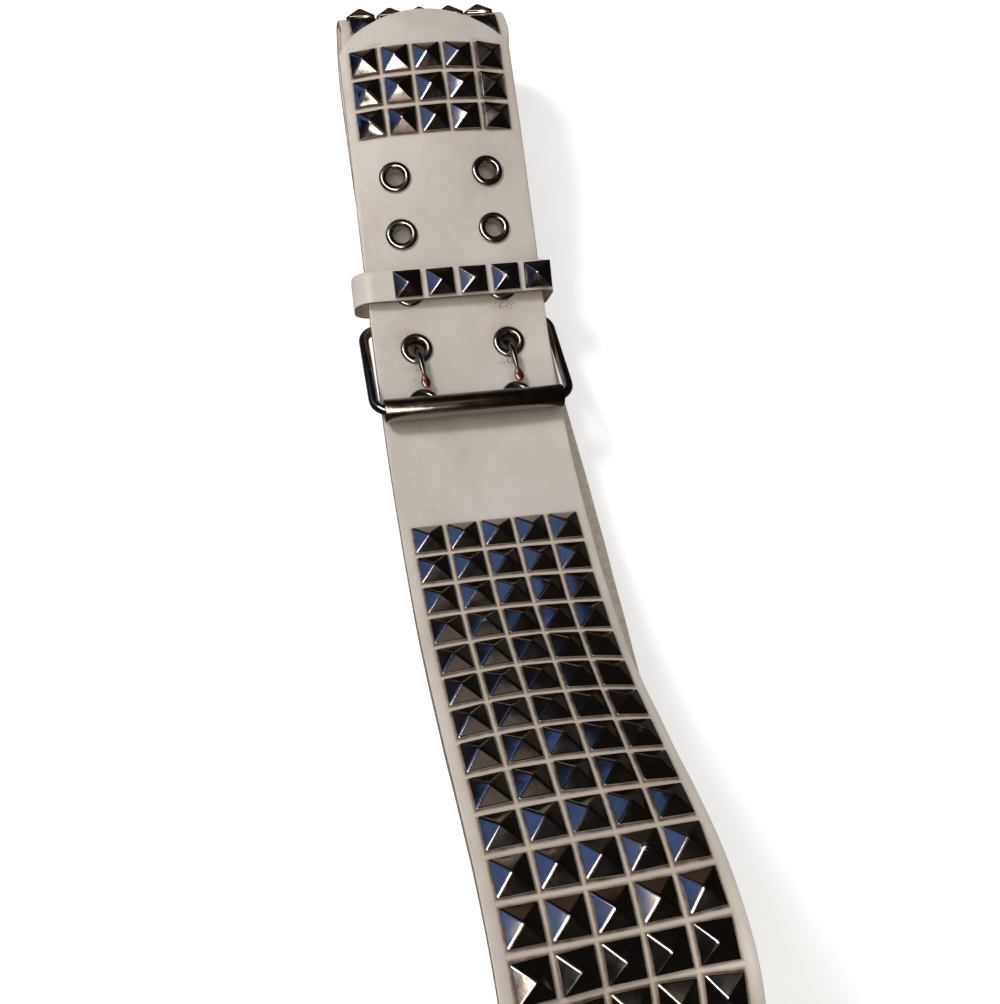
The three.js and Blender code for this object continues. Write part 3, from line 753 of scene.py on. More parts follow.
# %% The ten eyelets
eyelets = []
for name, (side, length) in eyelet_flat.items():
    copy = in_scene(f"{name}_ring", eyelet.data.copy())
    copy.data.transform(strap_place(side, length))
    smooth_shading(copy, 60)
    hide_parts(name)
    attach(copy, "root")
    eyelets.append(copy)
bpy.data.objects.remove(eyelet)
print("eyelets set:", len(eyelets))

# %% [markdown]
# ## The buckle's frame
#
# The frame is one round wire bent into a rectangle. A plane has the rectangle, a bevel at its four corners
# gives the wire's bends, and a curve along that outline gives the round wire itself.

# %% The buckle's place
lengthwise = roller_middle - heel_middle
frame_length = lengthwise.length
lengthwise.normalize()
buckle_across = Vector((1, 0, 0))
buckle_up = lengthwise.cross(buckle_across).normalized()
buckle_turn = Matrix((buckle_across, -lengthwise, buckle_up)).transposed().to_4x4()
buckle_place = Matrix.Translation((roller_middle + heel_middle) / 2) @ buckle_turn
frame_span = frame_high.x - frame_low.x - 2 * WIRE_RADIUS
print("frame:", round(frame_span / MM, 1), "by", round(frame_length / MM, 1), "mm between its bars")

# %% Frame
FRAME_BEND = 5.4 * MM
bpy.ops.mesh.primitive_plane_add(size=1)
wire = newest("buckle_frame_wire")
wire.scale = (frame_span, frame_length, 1)
bpy.ops.object.transform_apply(location=True, rotation=True, scale=True)
edit(wire, "VERT", lambda v: True)
bpy.ops.mesh.bevel(offset=FRAME_BEND, segments=8, affect="VERTICES")
bpy.ops.mesh.select_all(action="SELECT")
bpy.ops.mesh.delete(type="ONLY_FACE")
leave()
only(wire)
bpy.ops.object.convert(target="CURVE")
wire.data.bevel_depth = WIRE_RADIUS
wire.data.bevel_resolution = 6
bpy.ops.object.convert(target="MESH")
wire = newest("buckle_frame_wire")
close_up(wire)
wire.data.transform(buckle_place)
smooth_shading(wire, 60)
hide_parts("buckle_frame")
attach(wire, "root")
print("wire of the frame:", len(wire.data.polygons), "faces")

# %% [markdown]
# ## The roller
#
# The roller is a piece of tube on the frame's near bar. A cylinder is inset at both ends down to the bore,
# the inner end faces are taken out and the two rims joined, so the bar is seen to go into it.

# %% Roller
roller_radius = (roller_high.z - roller_low.z) / 2
roller_span = roller_high.x - roller_low.x
ROLLER_BORE = 2.1 * MM
bpy.ops.mesh.primitive_cylinder_add(
    vertices=56, radius=roller_radius, depth=roller_span, end_fill_type="NGON",
    location=roller_middle, rotation=(0, math.pi / 2, 0))
roller = newest("roller_tube")
bpy.ops.object.transform_apply(location=True, rotation=True, scale=True)
edit(roller, "FACE", lambda f: abs(f.normal.x) > 0.9)
bpy.ops.mesh.inset(thickness=roller_radius - ROLLER_BORE)
bpy.ops.mesh.delete(type="FACE")
leave()
edit(roller, "EDGE", lambda e: len(e.link_faces) == 1)
bpy.ops.mesh.bridge_edge_loops()
leave()
edit(roller, "EDGE", is_sharp)
bpy.ops.mesh.bevel(offset=0.35 * MM, segments=2, affect="EDGES")
bpy.ops.mesh.select_all(action="SELECT")
bpy.ops.mesh.normals_make_consistent(inside=False)
leave()
smooth_shading(roller, 40)
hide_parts("roller")
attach(roller, "root")
print("roller:", round(2 * roller_radius / MM, 1), "mm across and", round(roller_span / MM, 1), "mm long")

# %% [markdown]
# ## The prongs
#
# Each prong is a wire hooked round the hidden heel bar. It comes up through its eyelet, leans towards the
# roller and ends hammered flat, like a small spade. It is drawn as a curve with a radius at each point and
# made a mesh, and then its end is pressed flat.

# %% The run of a prong
# The hook has its turns round the heel bar in degrees. After it, a row says how far ahead of the eyelet's
# middle and over the leather the wire is, in millimetres, and its share of the full radius there. It
# leans to the right by a share of the way that it goes ahead.
PRONG_RADIUS = 1.2 * MM
HOOK_PLAY = 0.4 * MM
HOOK_TURNS = (150, 110, 70, 30, -10, -50, -85)
PRONG_RUN = [
    {"ahead": -2.9, "over": -6.3, "radius": 1.0},
    {"ahead": -1.05, "over": -2.4, "radius": 1.0},
    {"ahead": 0.8, "over": 2.1, "radius": 1.0},
    {"ahead": 2.9, "over": 4.0, "radius": 1.0},
    {"ahead": 5.4, "over": 4.5, "radius": 1.0},
    {"ahead": 8.0, "over": 4.85, "radius": 0.9},
    {"ahead": 9.6, "over": 5.05, "radius": 0.55},
    {"ahead": 10.6, "over": 5.15, "radius": 0.5},
    {"ahead": 11.8, "over": 5.25, "radius": 1.05},
    {"ahead": 13.2, "over": 5.35, "radius": 1.45},
    {"ahead": 14.5, "over": 5.4, "radius": 1.3},
    {"ahead": 15.3, "over": 5.45, "radius": 0.8},
    {"ahead": 15.6, "over": 5.45, "radius": 0.25},
]
PRONG_LEAN = 0.09


def prong_points(name):
    """The wire's points in space, with radii, from the open end of its hook to its blade"""
    side, length = eyelet_flat[name]
    hook = WIRE_RADIUS + HOOK_PLAY + PRONG_RADIUS
    start = strap_place(side, length, -THICKNESS / 2)
    along, out = -start.col[1].xyz, start.col[2].xyz
    middle = start.translation
    points = []
    for turn in HOOK_TURNS:
        angle = math.radians(turn)
        place = Vector((middle.x, heel_middle.y + hook * math.cos(angle),
                        heel_middle.z + hook * math.sin(angle)))
        points.append((place, 1.0))
    for row in PRONG_RUN:
        place = middle + along * row["ahead"] * MM + out * row["over"] * MM
        place.x = middle.x + PRONG_LEAN * max(row["ahead"], 0) * MM
        points.append((place, row["radius"]))
    return points, middle, along, out


# %% Prongs
# The blade's start, the length over which it turns flat, and where the painted reddish reflection begins,
# in millimetres
BLADE_START, BLADE_RUN = 10.3, 2.0
REFLECTION_START, REFLECTION_RUN = 6.5, 6
BLADE_FLATNESS = 0.42


def make_prong(name, eyelet_name):
    """Draws the wire along its run, makes it a mesh and presses its end flat"""
    points, middle, along, out = prong_points(eyelet_name)
    curve = bpy.data.curves.new(name, "CURVE")
    curve.dimensions = "3D"
    spline = curve.splines.new("NURBS")
    spline.points.add(len(points) - 1)
    for point, (place, radius) in zip(spline.points, points):
        point.co = (*place, 1)
        point.radius = radius
    spline.use_endpoint_u = True
    spline.order_u = 4
    spline.resolution_u = 6
    curve.bevel_depth = PRONG_RADIUS
    curve.bevel_resolution = 4
    curve.use_fill_caps = True
    made = in_scene(name, curve)
    only(made)
    bpy.ops.object.convert(target="MESH")
    made = newest(name)
    places = points_of(made)
    offset = places - np.array(middle)
    ahead = offset @ np.array(along)
    over = offset @ np.array(out)
    blade = np.clip((ahead / MM - BLADE_START) / BLADE_RUN, 0, 1)
    runs = np.array([[row["ahead"], row["over"]] for row in PRONG_RUN]) * MM
    centre = np.interp(ahead, runs[:, 0], runs[:, 1])
    places -= ((over - centre) * blade * (1 - BLADE_FLATNESS))[:, None] * np.array(out)
    set_points(made, places)
    close_up(made)
    ahead = (points_of(made) - np.array(middle)) @ np.array(along)
    # painted reflection: this share marks where the reddish-brown reflection is painted on the flattened
    # blade
    note(made, "blade", np.clip((ahead / MM - REFLECTION_START) / REFLECTION_RUN, 0, 1))
    note(made, "tone", np.ones(len(ahead)))
    smooth_shading(made, 60)
    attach(made, "root")
    return made


prongs = []
for side in ("left", "right"):
    prong = make_prong(f"prong_{side}_wire", f"eyelet_4_{side}")
    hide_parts(f"prong_{side}")
    prongs.append(prong)
    print(prong.name, "has", len(prong.data.polygons), "faces")

# %% [markdown]
# ## The keeper
#
# The keeper is a narrow band of the same leather, folded round all the layers. A block with its four long
# edges rounded has its outer shape. Without its two end faces it is a thin loop, and Solidify gives the
# loop its wall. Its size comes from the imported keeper, and its tilt from the way that its studs stand.


# %% The keeper's place and size
def keeper_frame(shape):
    """The keeper's own axes: x across the belt, y towards the tip, z out of the face"""
    out = sum((place.col[2].xyz for place in keeper_studs), Vector()).normalized()
    across = sum((place.col[0].xyz for place in keeper_studs), Vector())
    across = (across - out * across.dot(out)).normalized()
    return Matrix((across, out.cross(across), out)).transposed()


keeper_axes = keeper_frame(keeper_shape)
local = np.array([keeper_axes.inverted() @ v.co for v in keeper_shape.verts])
stud_feet = [keeper_axes.inverted() @ place.translation for place in keeper_studs]
keeper_low, keeper_high = local.min(0), local.max(0)
keeper_high[2] = np.mean([foot.z for foot in stud_feet])
keeper_middle = (keeper_low + keeper_high) / 2
keeper_size = keeper_high - keeper_low
print("keeper:", [round(c / MM, 1) for c in keeper_size], "mm")

# %% Keeper band
KEEPER_WALL = 1.8 * MM
KEEPER_LEFT_BEND = 7.0 * MM
KEEPER_RIGHT_BEND = 4.5 * MM
KEEPER_BEND_STEPS = 10
CUTS_ACROSS, CUTS_ALONG = 47, 7


def edge_reach(edge, axis):
    """How far an edge reaches along one axis"""
    return abs(edge.verts[0].co[axis] - edge.verts[1].co[axis])


bpy.ops.mesh.primitive_cube_add(size=1)
keeper = newest("keeper_band")
keeper.scale = keeper_size
bpy.ops.object.transform_apply(location=True, rotation=True, scale=True)
for sign, bend in ((-1, KEEPER_LEFT_BEND), (1, KEEPER_RIGHT_BEND)):
    edit(keeper, "EDGE", lambda e: edge_reach(e, 1) > keeper_size[1] / 2
         and sign * e.verts[0].co.x > 0.49 * keeper_size[0])
    bpy.ops.mesh.bevel(offset=bend, segments=KEEPER_BEND_STEPS, affect="EDGES")
    leave()
edit(keeper, "FACE", lambda f: abs(f.normal.y) > 0.9)
bpy.ops.mesh.delete(type="FACE")
leave()
for axis, cuts in ((0, CUTS_ACROSS), (1, CUTS_ALONG)):
    edit(keeper, "EDGE", lambda e: edge_reach(e, axis) > keeper_size[axis] / 2)
    bpy.ops.mesh.subdivide(number_cuts=cuts)
    leave()
for _ in LEATHER_SIDES:
    keeper.data.materials.append(None)
finish_with(keeper, "SOLIDIFY", thickness=KEEPER_WALL, offset=-1, material_offset=2,
            material_offset_rim=1)
edit(keeper, "EDGE", is_sharp)
bpy.ops.mesh.bevel(offset=0.3 * MM, segments=2, affect="EDGES")
leave()
print("keeper band:", len(keeper.data.polygons), "faces")

# %% The keeper's map and studs
# Counted from nought at the left, studs 2 and 3 are rubbed, and 3 and 4 lean by so many degrees.
KEEPER_RUBBED = (2, 3)
KEEPER_LEANS = {3: -2, 4: -9}
keeper_places = points_of(keeper)
keeper_map = np.column_stack([keeper_places[:, 0], keeper_places[:, 1] + keeper_places[:, 2]])
set_map(keeper, keeper_map / np.array([COLUMN_PITCH, ROW_PITCH]))
keeper.data.transform(keeper_axes.to_4x4() @ Matrix.Translation(Vector(keeper_middle)))
smooth_shading(keeper, 50)
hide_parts("keeper")
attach(keeper, "root")

keeper_field = field_of_studs(
    keeper_studs, "keeper_studs", seed=23, marked=KEEPER_RUBBED, leans=KEEPER_LEANS)
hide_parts("keeper")
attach(keeper_field, "root")
bpy.data.objects.remove(stud)
print("keeper's studs:", len(keeper_field.data.polygons), "faces")

# %% [markdown]
# ## Finishes: the helpers
#
# Every finish is a small tree of nodes. One function adds a node, sets what it is given and links what it
# is given as another node, so a finish reads from top to bottom.


# %% Colours and nodes
def linear(hex_colour):
    """A colour written as on a screen, turned to the linear values that the shader reads"""
    parts = [int(hex_colour[i:i + 2], 16) / 255 for i in (1, 3, 5)]
    return tuple(c / 12.92 if c <= 0.04045 else ((c + 0.055) / 1.055) ** 2.4 for c in parts) + (1.0,)


def connect(tree, node, inputs):
    """Sets inputs by name or number, and links those given a socket, or a node for its first output"""
    for key, value in inputs.items():
        if isinstance(value, bpy.types.Node):
            value = value.outputs[0]
        if isinstance(value, bpy.types.NodeSocket):
            tree.links.new(value, node.inputs[key])
        else:
            node.inputs[key].default_value = value


def add(tree, kind, settings=None, inputs=None, stops=()):
    """Adds a node with its settings and inputs, and the (place, colour) stops of a colour ramp"""
    made = tree.nodes.new(kind)
    for key, value in (settings or {}).items():
        setattr(made, key, value)
    connect(tree, made, inputs or {})
    elements = made.color_ramp.elements if stops else ()
    while len(elements) < len(stops):
        elements.new(0.5)
    for element, (place, colour) in zip(elements, stops):
        element.position = place
        element.color = linear(colour)
    return made


def new_material(name):
    material = bpy.data.materials.new(name)
    material.use_nodes = True
    tree = material.node_tree
    return material, tree, tree.nodes["Principled BSDF"]


# %% [markdown]
# ## White coated leather
#
# The face is split leather under a white polyurethane coat. It has a fine pebbled grain about half a
# millimetre wide, a soft sheen, faint grey clouding from handling, tan grime with painted shade round each
# stud, and a few dark specks. The map that counts rows and columns tells the grime and shade where the
# studs are.


# %% The strip's map, read by the finish
def leather_map(tree):
    """The strip's map in millimetres, and its distance from the nearest stud's middle"""
    rows = add(tree, "ShaderNodeUVMap", {"uv_map": "rows"})
    scale = (COLUMN_PITCH / MM, ROW_PITCH / MM, 1)
    in_mm = add(tree, "ShaderNodeVectorMath", {"operation": "MULTIPLY"}, {0: rows, 1: scale})
    half = add(tree, "ShaderNodeVectorMath", {"operation": "ADD"}, {0: rows, 1: (0.5, 0.5, 0)})
    whole = add(tree, "ShaderNodeVectorMath", {"operation": "FLOOR"}, {0: half})
    any_row = 10000
    last = (max(COLUMNS), any_row, 1)
    first = tuple(-c for c in last)
    low = add(tree, "ShaderNodeVectorMath", {"operation": "MAXIMUM"}, {0: whole, 1: first})
    stud_at = add(tree, "ShaderNodeVectorMath", {"operation": "MINIMUM"}, {0: low, 1: last})
    centred = add(tree, "ShaderNodeVectorMath", {"operation": "SUBTRACT"}, {0: rows, 1: stud_at})
    size = add(tree, "ShaderNodeVectorMath", {"operation": "ABSOLUTE"}, {0: centred})
    gaps = add(tree, "ShaderNodeVectorMath", {"operation": "MULTIPLY"}, {0: size, 1: scale})
    apart = add(tree, "ShaderNodeSeparateXYZ", None, {0: gaps})
    nearest = add(tree, "ShaderNodeMath", {"operation": "MAXIMUM"},
                  {0: apart.outputs["X"], 1: apart.outputs["Y"]})
    return in_mm, nearest


# %% Grime and painted shade round the studs
# In millimetres from a stud's middle, these are its edge, the end of the brown grime and painted contact
# shade halfway to the next stud, and the end of the tan grime and painted shade, beside the outer studs.
# A patch of the grime and shade is nearly three wide.
GRIME_SHADE_INNER, GRIME_SHADE_OUTER, TAN_SHADE_OUTER = 4.75, 5.6, 6.6
GRIME_SHADE_PATCH = 2.857


def grime_and_shade(tree, place, nearest, colour):
    """Tan grime and painted shade round each stud, with patchy brown grime and painted contact shade close
    to its foot
    """
    mask = add(tree, "ShaderNodeAttribute", {"attribute_name": "studded"}).outputs["Fac"]
    tan_and_shade = add(tree, "ShaderNodeMapRange", None,
                 {"Value": nearest, "From Min": TAN_SHADE_OUTER, "From Max": GRIME_SHADE_OUTER, "To Max": 0.5})
    tan_and_shade = add(tree, "ShaderNodeMath", {"operation": "MULTIPLY"}, {0: tan_and_shade, 1: mask})
    # painted shade: the tan stands for grime and for the shade that falls in the gaps between the studs
    colour = add(tree, "ShaderNodeMix", {"data_type": "RGBA"},
                 {0: tan_and_shade, 6: colour, 7: linear("#c3b09a")}).outputs[2]
    foot_grime_and_shade = add(tree, "ShaderNodeMapRange", {"interpolation_type": "SMOOTHSTEP"},
                  {"Value": nearest, "From Min": GRIME_SHADE_OUTER, "From Max": GRIME_SHADE_INNER})
    uneven = add(tree, "ShaderNodeTexNoise", None,
                 {"Vector": place, "Scale": 1 / GRIME_SHADE_PATCH, "Detail": 6.0})
    amount = add(tree, "ShaderNodeMapRange", None,
                 {"Value": uneven, "From Min": 0.3, "From Max": 0.7, "To Min": 0.45})
    dark_grime_and_shade = add(tree, "ShaderNodeMath", {"operation": "MULTIPLY"}, {0: foot_grime_and_shade, 1: amount})
    dark_grime_and_shade = add(tree, "ShaderNodeMath", {"operation": "MULTIPLY"}, {0: dark_grime_and_shade, 1: mask})
    # painted shade: the dark brown ring at each stud's foot is grime together with the studs' contact
    # shadow painted in
    return add(tree, "ShaderNodeMix", {"data_type": "RGBA"},
               {0: dark_grime_and_shade, 6: colour, 7: linear("#4d3827")}).outputs[2]


# %% Specks
# A speck is under half a millimetre across at its core. Fewer than a third of the places have one.
SPECK_SPACING = 9.0
SPECK_EDGE, SPECK_CORE = 0.54, 0.225
SPECKS_LEFT_OUT = 0.72
SPECK_STRENGTH = 0.55


def speckled(tree, place, colour):
    """A few faint dark specks of dirt, scattered over the coat"""
    specks = add(tree, "ShaderNodeTexVoronoi", None, {"Vector": place, "Scale": 1 / SPECK_SPACING})
    inside = add(tree, "ShaderNodeMapRange", None,
                 {"Value": specks, "From Min": SPECK_EDGE / SPECK_SPACING,
                  "From Max": SPECK_CORE / SPECK_SPACING})
    chance = add(tree, "ShaderNodeSeparateXYZ", None, {0: specks.outputs["Color"]})
    rare = add(tree, "ShaderNodeMath", {"operation": "GREATER_THAN"},
               {0: chance.outputs["X"], 1: SPECKS_LEFT_OUT})
    dark = add(tree, "ShaderNodeMath", {"operation": "MULTIPLY"}, {0: inside, 1: rare})
    faint = add(tree, "ShaderNodeMath", {"operation": "MULTIPLY"}, {0: dark, 1: SPECK_STRENGTH})
    return add(tree, "ShaderNodeMix", {"data_type": "RGBA"},
               {0: faint, 6: colour, 7: linear("#6e6259")}).outputs[2]


# %% Scuffs by the eyelets
# The noise that breaks a scuff up is under a millimetre wide, and a fifth of its reach is full.
SCUFF_BREAK = 0.7692
SCUFF_CORE = 0.2


def scuffed(tree, place, colour, mark):
    """A smudge of a given reach round a point of the strip, broken up by noise"""
    gap = add(tree, "ShaderNodeVectorMath", {"operation": "SUBTRACT"}, {0: place, 1: mark["middle"]})
    stretched = add(tree, "ShaderNodeVectorMath", {"operation": "DIVIDE"}, {0: gap, 1: mark["reach"]})
    far = add(tree, "ShaderNodeVectorMath", {"operation": "LENGTH"}, {0: stretched})
    near = add(tree, "ShaderNodeMapRange", {"interpolation_type": "SMOOTHSTEP"},
               {"Value": far.outputs["Value"], "From Min": 1.0, "From Max": SCUFF_CORE,
                "To Max": mark["strength"]})
    broken = add(tree, "ShaderNodeTexNoise", None,
                 {"Vector": place, "Scale": 1 / SCUFF_BREAK, "Detail": 6.0})
    patchy = add(tree, "ShaderNodeMapRange", None, {"Value": broken, "From Min": 0.42, "From Max": 0.62})
    smudge = add(tree, "ShaderNodeMath", {"operation": "MULTIPLY"}, {0: near, 1: patchy})
    return add(tree, "ShaderNodeMix", {"data_type": "RGBA"},
               {0: smudge, 6: colour, 7: linear(mark["colour"])}).outputs[2]


def strip_point(side, length):
    """A point of the flat strip in the map's millimetres"""
    return (side / MM, float(row_number(np.array([length]))[0]) * ROW_PITCH / MM, 0.0)


marks = []
for name, strength in (("eyelet_3_right", 0.75), ("eyelet_4_left", 0.45), ("eyelet_4_right", 0.7)):
    side, length = eyelet_flat[name]
    marks.append({"middle": strip_point(side, length + 7.2 * MM), "reach": (6.0, 2.6, 1.0),
                  "strength": strength, "colour": "#4a403a"})
for name in ("eyelet_4_left", "eyelet_4_right"):
    side, length = eyelet_flat[name]
    marks.append({"middle": strip_point(side - 2.5 * MM, length - 3.5 * MM), "reach": (6.5, 6.0, 1.0),
                  "strength": 0.55, "colour": "#a8835c"})
print("scuffs on the leather:", len(marks))

# %% Leather face
# The widths of one pebble of the grain, of a cloud and of a ripple, in millimetres
GRAIN = 0.55
CLOUD = 26.0
RIPPLE = 8.333


def white_leather(name, studded, marks):
    """The coat, from its clouding up to its grain, with grime and painted shade only where there are studs
    """
    material, tree, shader = new_material(name)
    place, nearest = leather_map(tree)
    clouds = add(tree, "ShaderNodeTexNoise", None,
                 {"Vector": place, "Scale": 1 / CLOUD, "Detail": 5.0, "Roughness": 0.6})
    colour = add(tree, "ShaderNodeValToRGB", None, {"Fac": clouds},
                 [(0.32, "#c6bdb4"), (0.5, "#d0c8bf"), (0.68, "#d8d1c9")])
    if studded:
        colour = grime_and_shade(tree, place, nearest, colour)
    colour = speckled(tree, place, colour)
    for mark in marks:
        colour = scuffed(tree, place, colour, mark)
    grain = add(tree, "ShaderNodeTexVoronoi", {"feature": "SMOOTH_F1"},
                {"Vector": place, "Scale": 1 / GRAIN, "Smoothness": 0.6})
    ripple = add(tree, "ShaderNodeTexNoise", None, {"Vector": place, "Scale": 1 / RIPPLE, "Detail": 4.0})
    relief = add(tree, "ShaderNodeBump", None,
                 {"Height": grain, "Strength": 0.12, "Distance": 0.05 * MM})
    relief = add(tree, "ShaderNodeBump", None,
                 {"Height": ripple, "Strength": 0.5, "Distance": 0.8 * MM, "Normal": relief})
    gloss = add(tree, "ShaderNodeMapRange", None, {"Value": clouds, "To Min": 0.36, "To Max": 0.5})
    connect(tree, shader, {"Base Color": colour, "Roughness": gloss, "Normal": relief})
    print(name, "has", len(tree.nodes), "nodes")
    return material


strap_face = white_leather("white_coated_leather", True, marks)
keeper_face = white_leather("white_coated_leather_keeper", False, [])

# %% [markdown]
# ## Cut edge and back
#
# Where the strip is cut, the white coat ends and the brown split leather under it shows, and its colour is
# darkened further as painted shade, so every edge reads as a thin dark brown line. The back is bare split
# leather too, sanded pale, rough and without sheen. One function makes both, from two colours and the width
# of a tuft of fibres in millimetres.


# %% Edge and back
def bare_leather(name, light, dark, roughness, fibre):
    """Split leather without a coat: short matted fibres, lighter and darker"""
    material, tree, shader = new_material(name)
    place = add(tree, "ShaderNodeTexCoord").outputs["Object"]
    fibres = add(tree, "ShaderNodeTexNoise", None,
                 {"Vector": place, "Scale": 1 / (fibre * MM), "Detail": 8.0, "Roughness": 0.7})
    colour = add(tree, "ShaderNodeValToRGB", None, {"Fac": fibres}, [(0.35, dark), (0.62, light)])
    relief = add(tree, "ShaderNodeBump", None,
                 {"Height": fibres, "Strength": 0.5, "Distance": 0.15 * MM})
    connect(tree, shader, {"Base Color": colour, "Roughness": roughness, "Normal": relief})
    return material


# painted shade: the edge's dark brown is split leather darkened further for the shade that falls on the
# thin cut edges
shaded_cut_edge = bare_leather("cut_leather_edge_shaded", light="#94806c", dark="#594838", roughness=0.6, fibre=1.2)
leather_back = bare_leather(
    "split_leather_back", light="#e0d7cb", dark="#c9beb0", roughness=0.85, fibre=2.5)
for obj, face in ((strap, strap_face), (keeper, keeper_face)):
    for number, material in enumerate((face, shaded_cut_edge, leather_back)):
        obj.data.materials[number] = material
    print(obj.name, "is finished with", ", ".join(m.name for m in obj.data.materials))

# %% [markdown]
# ## Gunmetal plating
#
# The studs, eyelets and wire are plated a dark, warm mirror. A metal like this shows almost only what it
# reflects, so its own colour is a mid grey and the room does the rest. It is not perfect: the plating has
# a fine orange-peel, dull patches, and it is rubbed pale on the points of the studs that stand out most.
# The roller is black nickel, and the prongs are steel with a reddish-brown reflection painted on their
# flattened ends.

# %% Metals
# The widths of a dull patch, of a bump of the orange-peel and of a scratch, in millimetres
DULL_PATCH = 4.545
PEEL = 2.381
SCRATCH = 0.6667
DULLER = 0.12
WEAR_AND_REFLECTION_ROUGHER = 0.35


def plated_metal(name, colour_hex, roughness, wear_and_reflection_at=None, wear_and_reflection_hex="#b9b2a8"):
    """A plated mirror with dull patches, and a second colour where the given attribute nears one: pale wear
    on the studs, a painted reflection on the prongs
    """
    material, tree, shader = new_material(name)
    place = add(tree, "ShaderNodeTexCoord").outputs["Object"]
    patches = add(tree, "ShaderNodeTexNoise", None,
                  {"Vector": place, "Scale": 1 / (DULL_PATCH * MM), "Detail": 4.0})
    rough = add(tree, "ShaderNodeMapRange", None,
                {"Value": patches, "From Min": 0.35, "From Max": 0.75,
                 "To Min": roughness, "To Max": roughness + DULLER})
    colour = add(tree, "ShaderNodeValToRGB", None, {"Fac": patches}, [(0.3, colour_hex), (0.8, "#8b847e")])
    if wear_and_reflection_at:
        point = add(tree, "ShaderNodeAttribute", {"attribute_name": wear_and_reflection_at}).outputs["Fac"]
        tone = add(tree, "ShaderNodeAttribute", {"attribute_name": "tone"}).outputs["Fac"]
        scratches = add(tree, "ShaderNodeTexNoise", None,
                        {"Vector": place, "Scale": 1 / (SCRATCH * MM), "Detail": 6.0})
        near_point = add(tree, "ShaderNodeMapRange", None, {"Value": point, "From Min": 0.62})
        chosen = add(tree, "ShaderNodeMapRange", None, {"Value": tone, "From Min": 0.72})
        marked = add(tree, "ShaderNodeMath", {"operation": "MULTIPLY"}, {0: near_point, 1: chosen})
        patchy = add(tree, "ShaderNodeMapRange", None,
                     {"Value": scratches, "From Min": 0.45, "From Max": 0.6})
        marked = add(tree, "ShaderNodeMath", {"operation": "MULTIPLY"}, {0: marked, 1: patchy})
        # the second colour is real pale wear on the studs, and on the prongs a painted reddish-brown
        # reflection
        colour = add(tree, "ShaderNodeMix", {"data_type": "RGBA"},
                     {0: marked, 6: colour, 7: linear(wear_and_reflection_hex)}).outputs[2]
        rough = add(tree, "ShaderNodeMath", {"operation": "MULTIPLY_ADD"},
                    {0: marked, 1: WEAR_AND_REFLECTION_ROUGHER, 2: rough})
    peel = add(tree, "ShaderNodeTexNoise", None,
               {"Vector": place, "Scale": 1 / (PEEL * MM), "Detail": 2.0})
    relief = add(tree, "ShaderNodeBump", None,
                 {"Height": peel, "Strength": 0.25, "Distance": 0.12 * MM})
    connect(tree, shader,
            {"Base Color": colour, "Roughness": rough, "Normal": relief, "Metallic": 1.0})
    return material


stud_metal = plated_metal("gunmetal_plated_studs", "#aaa4a0", 0.12, "point")
ring_metal = plated_metal("gunmetal_plated_eyelets", "#aaa49e", 0.14)
wire_metal = plated_metal("gunmetal_plated_wire", "#a19a93", 0.13)
roller_metal = plated_metal("black_nickel_roller", "#8a8580", 0.15)
# painted reflection: the reddish-brown on the prongs' flattened ends stands for a reflection
prong_metal = plated_metal("steel_prongs_painted_reflection", "#8e8279", 0.2, "blade", "#a8604e")
for material, pieces in (
    (stud_metal, [studs, keeper_field]), (wire_metal, [wire]), (roller_metal, [roller]),
    (ring_metal, eyelets), (prong_metal, prongs),
):
    for piece in pieces:
        piece.data.materials.clear()
        piece.data.materials.append(material)
    print(material.name, "on", len(pieces), "of the pieces")

# %% [markdown]
# ## Table and light
#
# The belt lies on a bright white ground. Mirror-dark metal shows only what stands round it, so the room
# is made of a few things: a long warm lamp on the left draws the bright ridges, a large blue sky-lit
# window far beyond it colours the left faces, a faint patch overhead greys the near faces, a brown wall
# stands behind, and the rest is dark. The lights that brighten the leather and the table are kept out of
# the reflections, and those seen in the metal are kept off the leather.

# %% Floor
bpy.ops.mesh.primitive_plane_add(size=40, location=(0, 0, -0.2 * MM))
floor = newest("table")
floor_material, floor_tree, floor_shader = new_material("white_table")
connect(floor_tree, floor_shader, {
    "Base Color": linear("#e7e7e7"), "Roughness": 0.9, "Specular IOR Level": 0.1,
    "Emission Color": linear("#ffffff"), "Emission Strength": 0.48})
floor.data.materials.append(floor_material)
floor.visible_glossy = False
floor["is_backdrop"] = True
print("table:", floor.dimensions.x, "m square")

# %% The room that the metal sees
world = bpy.data.worlds.new("room")
bpy.context.scene.world = world
world.use_nodes = True
room = world.node_tree
room.nodes.clear()
direction = add(room, "ShaderNodeSeparateXYZ", None,
                {0: add(room, "ShaderNodeTexCoord").outputs["Generated"]})
below = add(room, "ShaderNodeMapRange", None,
            {"Value": direction.outputs["Z"], "From Min": 0.04, "From Max": -0.1})
tones = add(room, "ShaderNodeMix", {"data_type": "RGBA"},
            {0: below, 6: linear("#1b1816"), 7: linear("#3f3934")}).outputs[2]
seen = add(room, "ShaderNodeLightPath").outputs["Is Camera Ray"]
backdrop = add(room, "ShaderNodeMix", {"data_type": "RGBA"},
               {0: seen, 6: tones, 7: linear("#f9f9f9")}).outputs[2]
glow = add(room, "ShaderNodeBackground", None, {"Color": backdrop, "Strength": 1.0})
add(room, "ShaderNodeOutputWorld", None, {"Surface": glow})
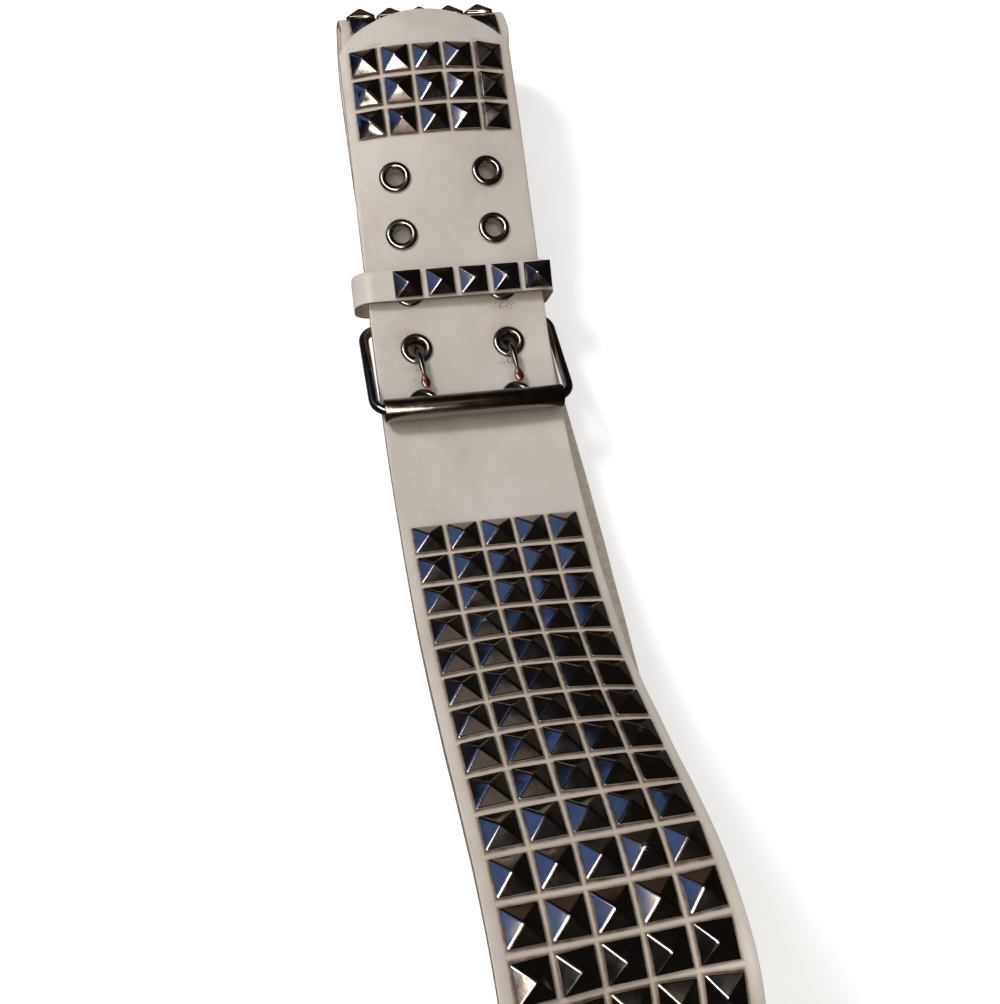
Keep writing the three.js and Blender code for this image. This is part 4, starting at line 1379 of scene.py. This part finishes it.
print("the room has", len(room.nodes), "nodes")


# %% Lights
def lamp(name, direction, size, glow, colour, in_metal=False, turn=0, distance=1.5):
    """A soft rectangular light, so many metres off, that looks at the belt and is turned by degrees"""
    data = bpy.data.lights.new(name, "AREA")
    data.shape = "RECTANGLE"
    data.size, data.size_y = size
    data.energy = glow * math.pi * size[0] * size[1]
    data.color = linear(colour)[:3]
    made = in_scene(name, data)
    toward = Vector(direction).normalized()
    made.location = toward * distance
    made.rotation_mode = "QUATERNION"
    upright = toward.to_track_quat("Z", "Y")
    made.rotation_quaternion = upright @ Quaternion((0, 0, 1), math.radians(turn))
    made.visible_glossy = in_metal
    made.visible_diffuse = not in_metal
    print(name, "is", size, "m and looks from", direction)


lamp("overhead", (0.05, 0.1, 1.0), size=(2.6, 2.6), glow=0.78, colour="#fffdfb")
lamp("key_on_leather", (-0.60, 0.42, 0.85), size=(0.3, 0.3), glow=37, colour="#fbfbff")
lamp("front_fill", (-0.4, -0.8, 0.7), size=(1.2, 1.0), glow=1.2, colour="#fff4e8")
lamp("strip_in_metal", (-0.43, -0.165, 0.93), size=(1.72, 0.4), glow=9.0, colour="#fff6ea", in_metal=True)
lamp("pale_in_metal", (-0.17, -0.70, 0.69), size=(0.3, 0.3), glow=0.9, colour="#ffe4cf", in_metal=True)
lamp("window_in_metal", (-0.672, 0.37, 0.642), size=(7.7, 3.5), glow=0.62, colour="#6f97e6",
     in_metal=True, turn=48.5, distance=6.0)
lamp("ceiling_in_metal", (0.03, 0.02, 1.0), size=(0.5, 0.5), glow=0.22, colour="#ffeede", in_metal=True)
lamp("wall_in_metal", (0.12, 0.97, 0.2), size=(0.9, 0.5), glow=0.1, colour="#ffc9b0", in_metal=True)
bpy.context.scene.view_settings.view_transform = "Standard"
bpy.context.scene.view_settings.exposure = 0.0

# %% Sizes and finish
visual_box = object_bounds()
for name, box in (("cad", cad_box), ("visual", visual_box)):
    print(name, [round(c / MM, 1) for c in box[0]], [round(c / MM, 1) for c in box[1]])
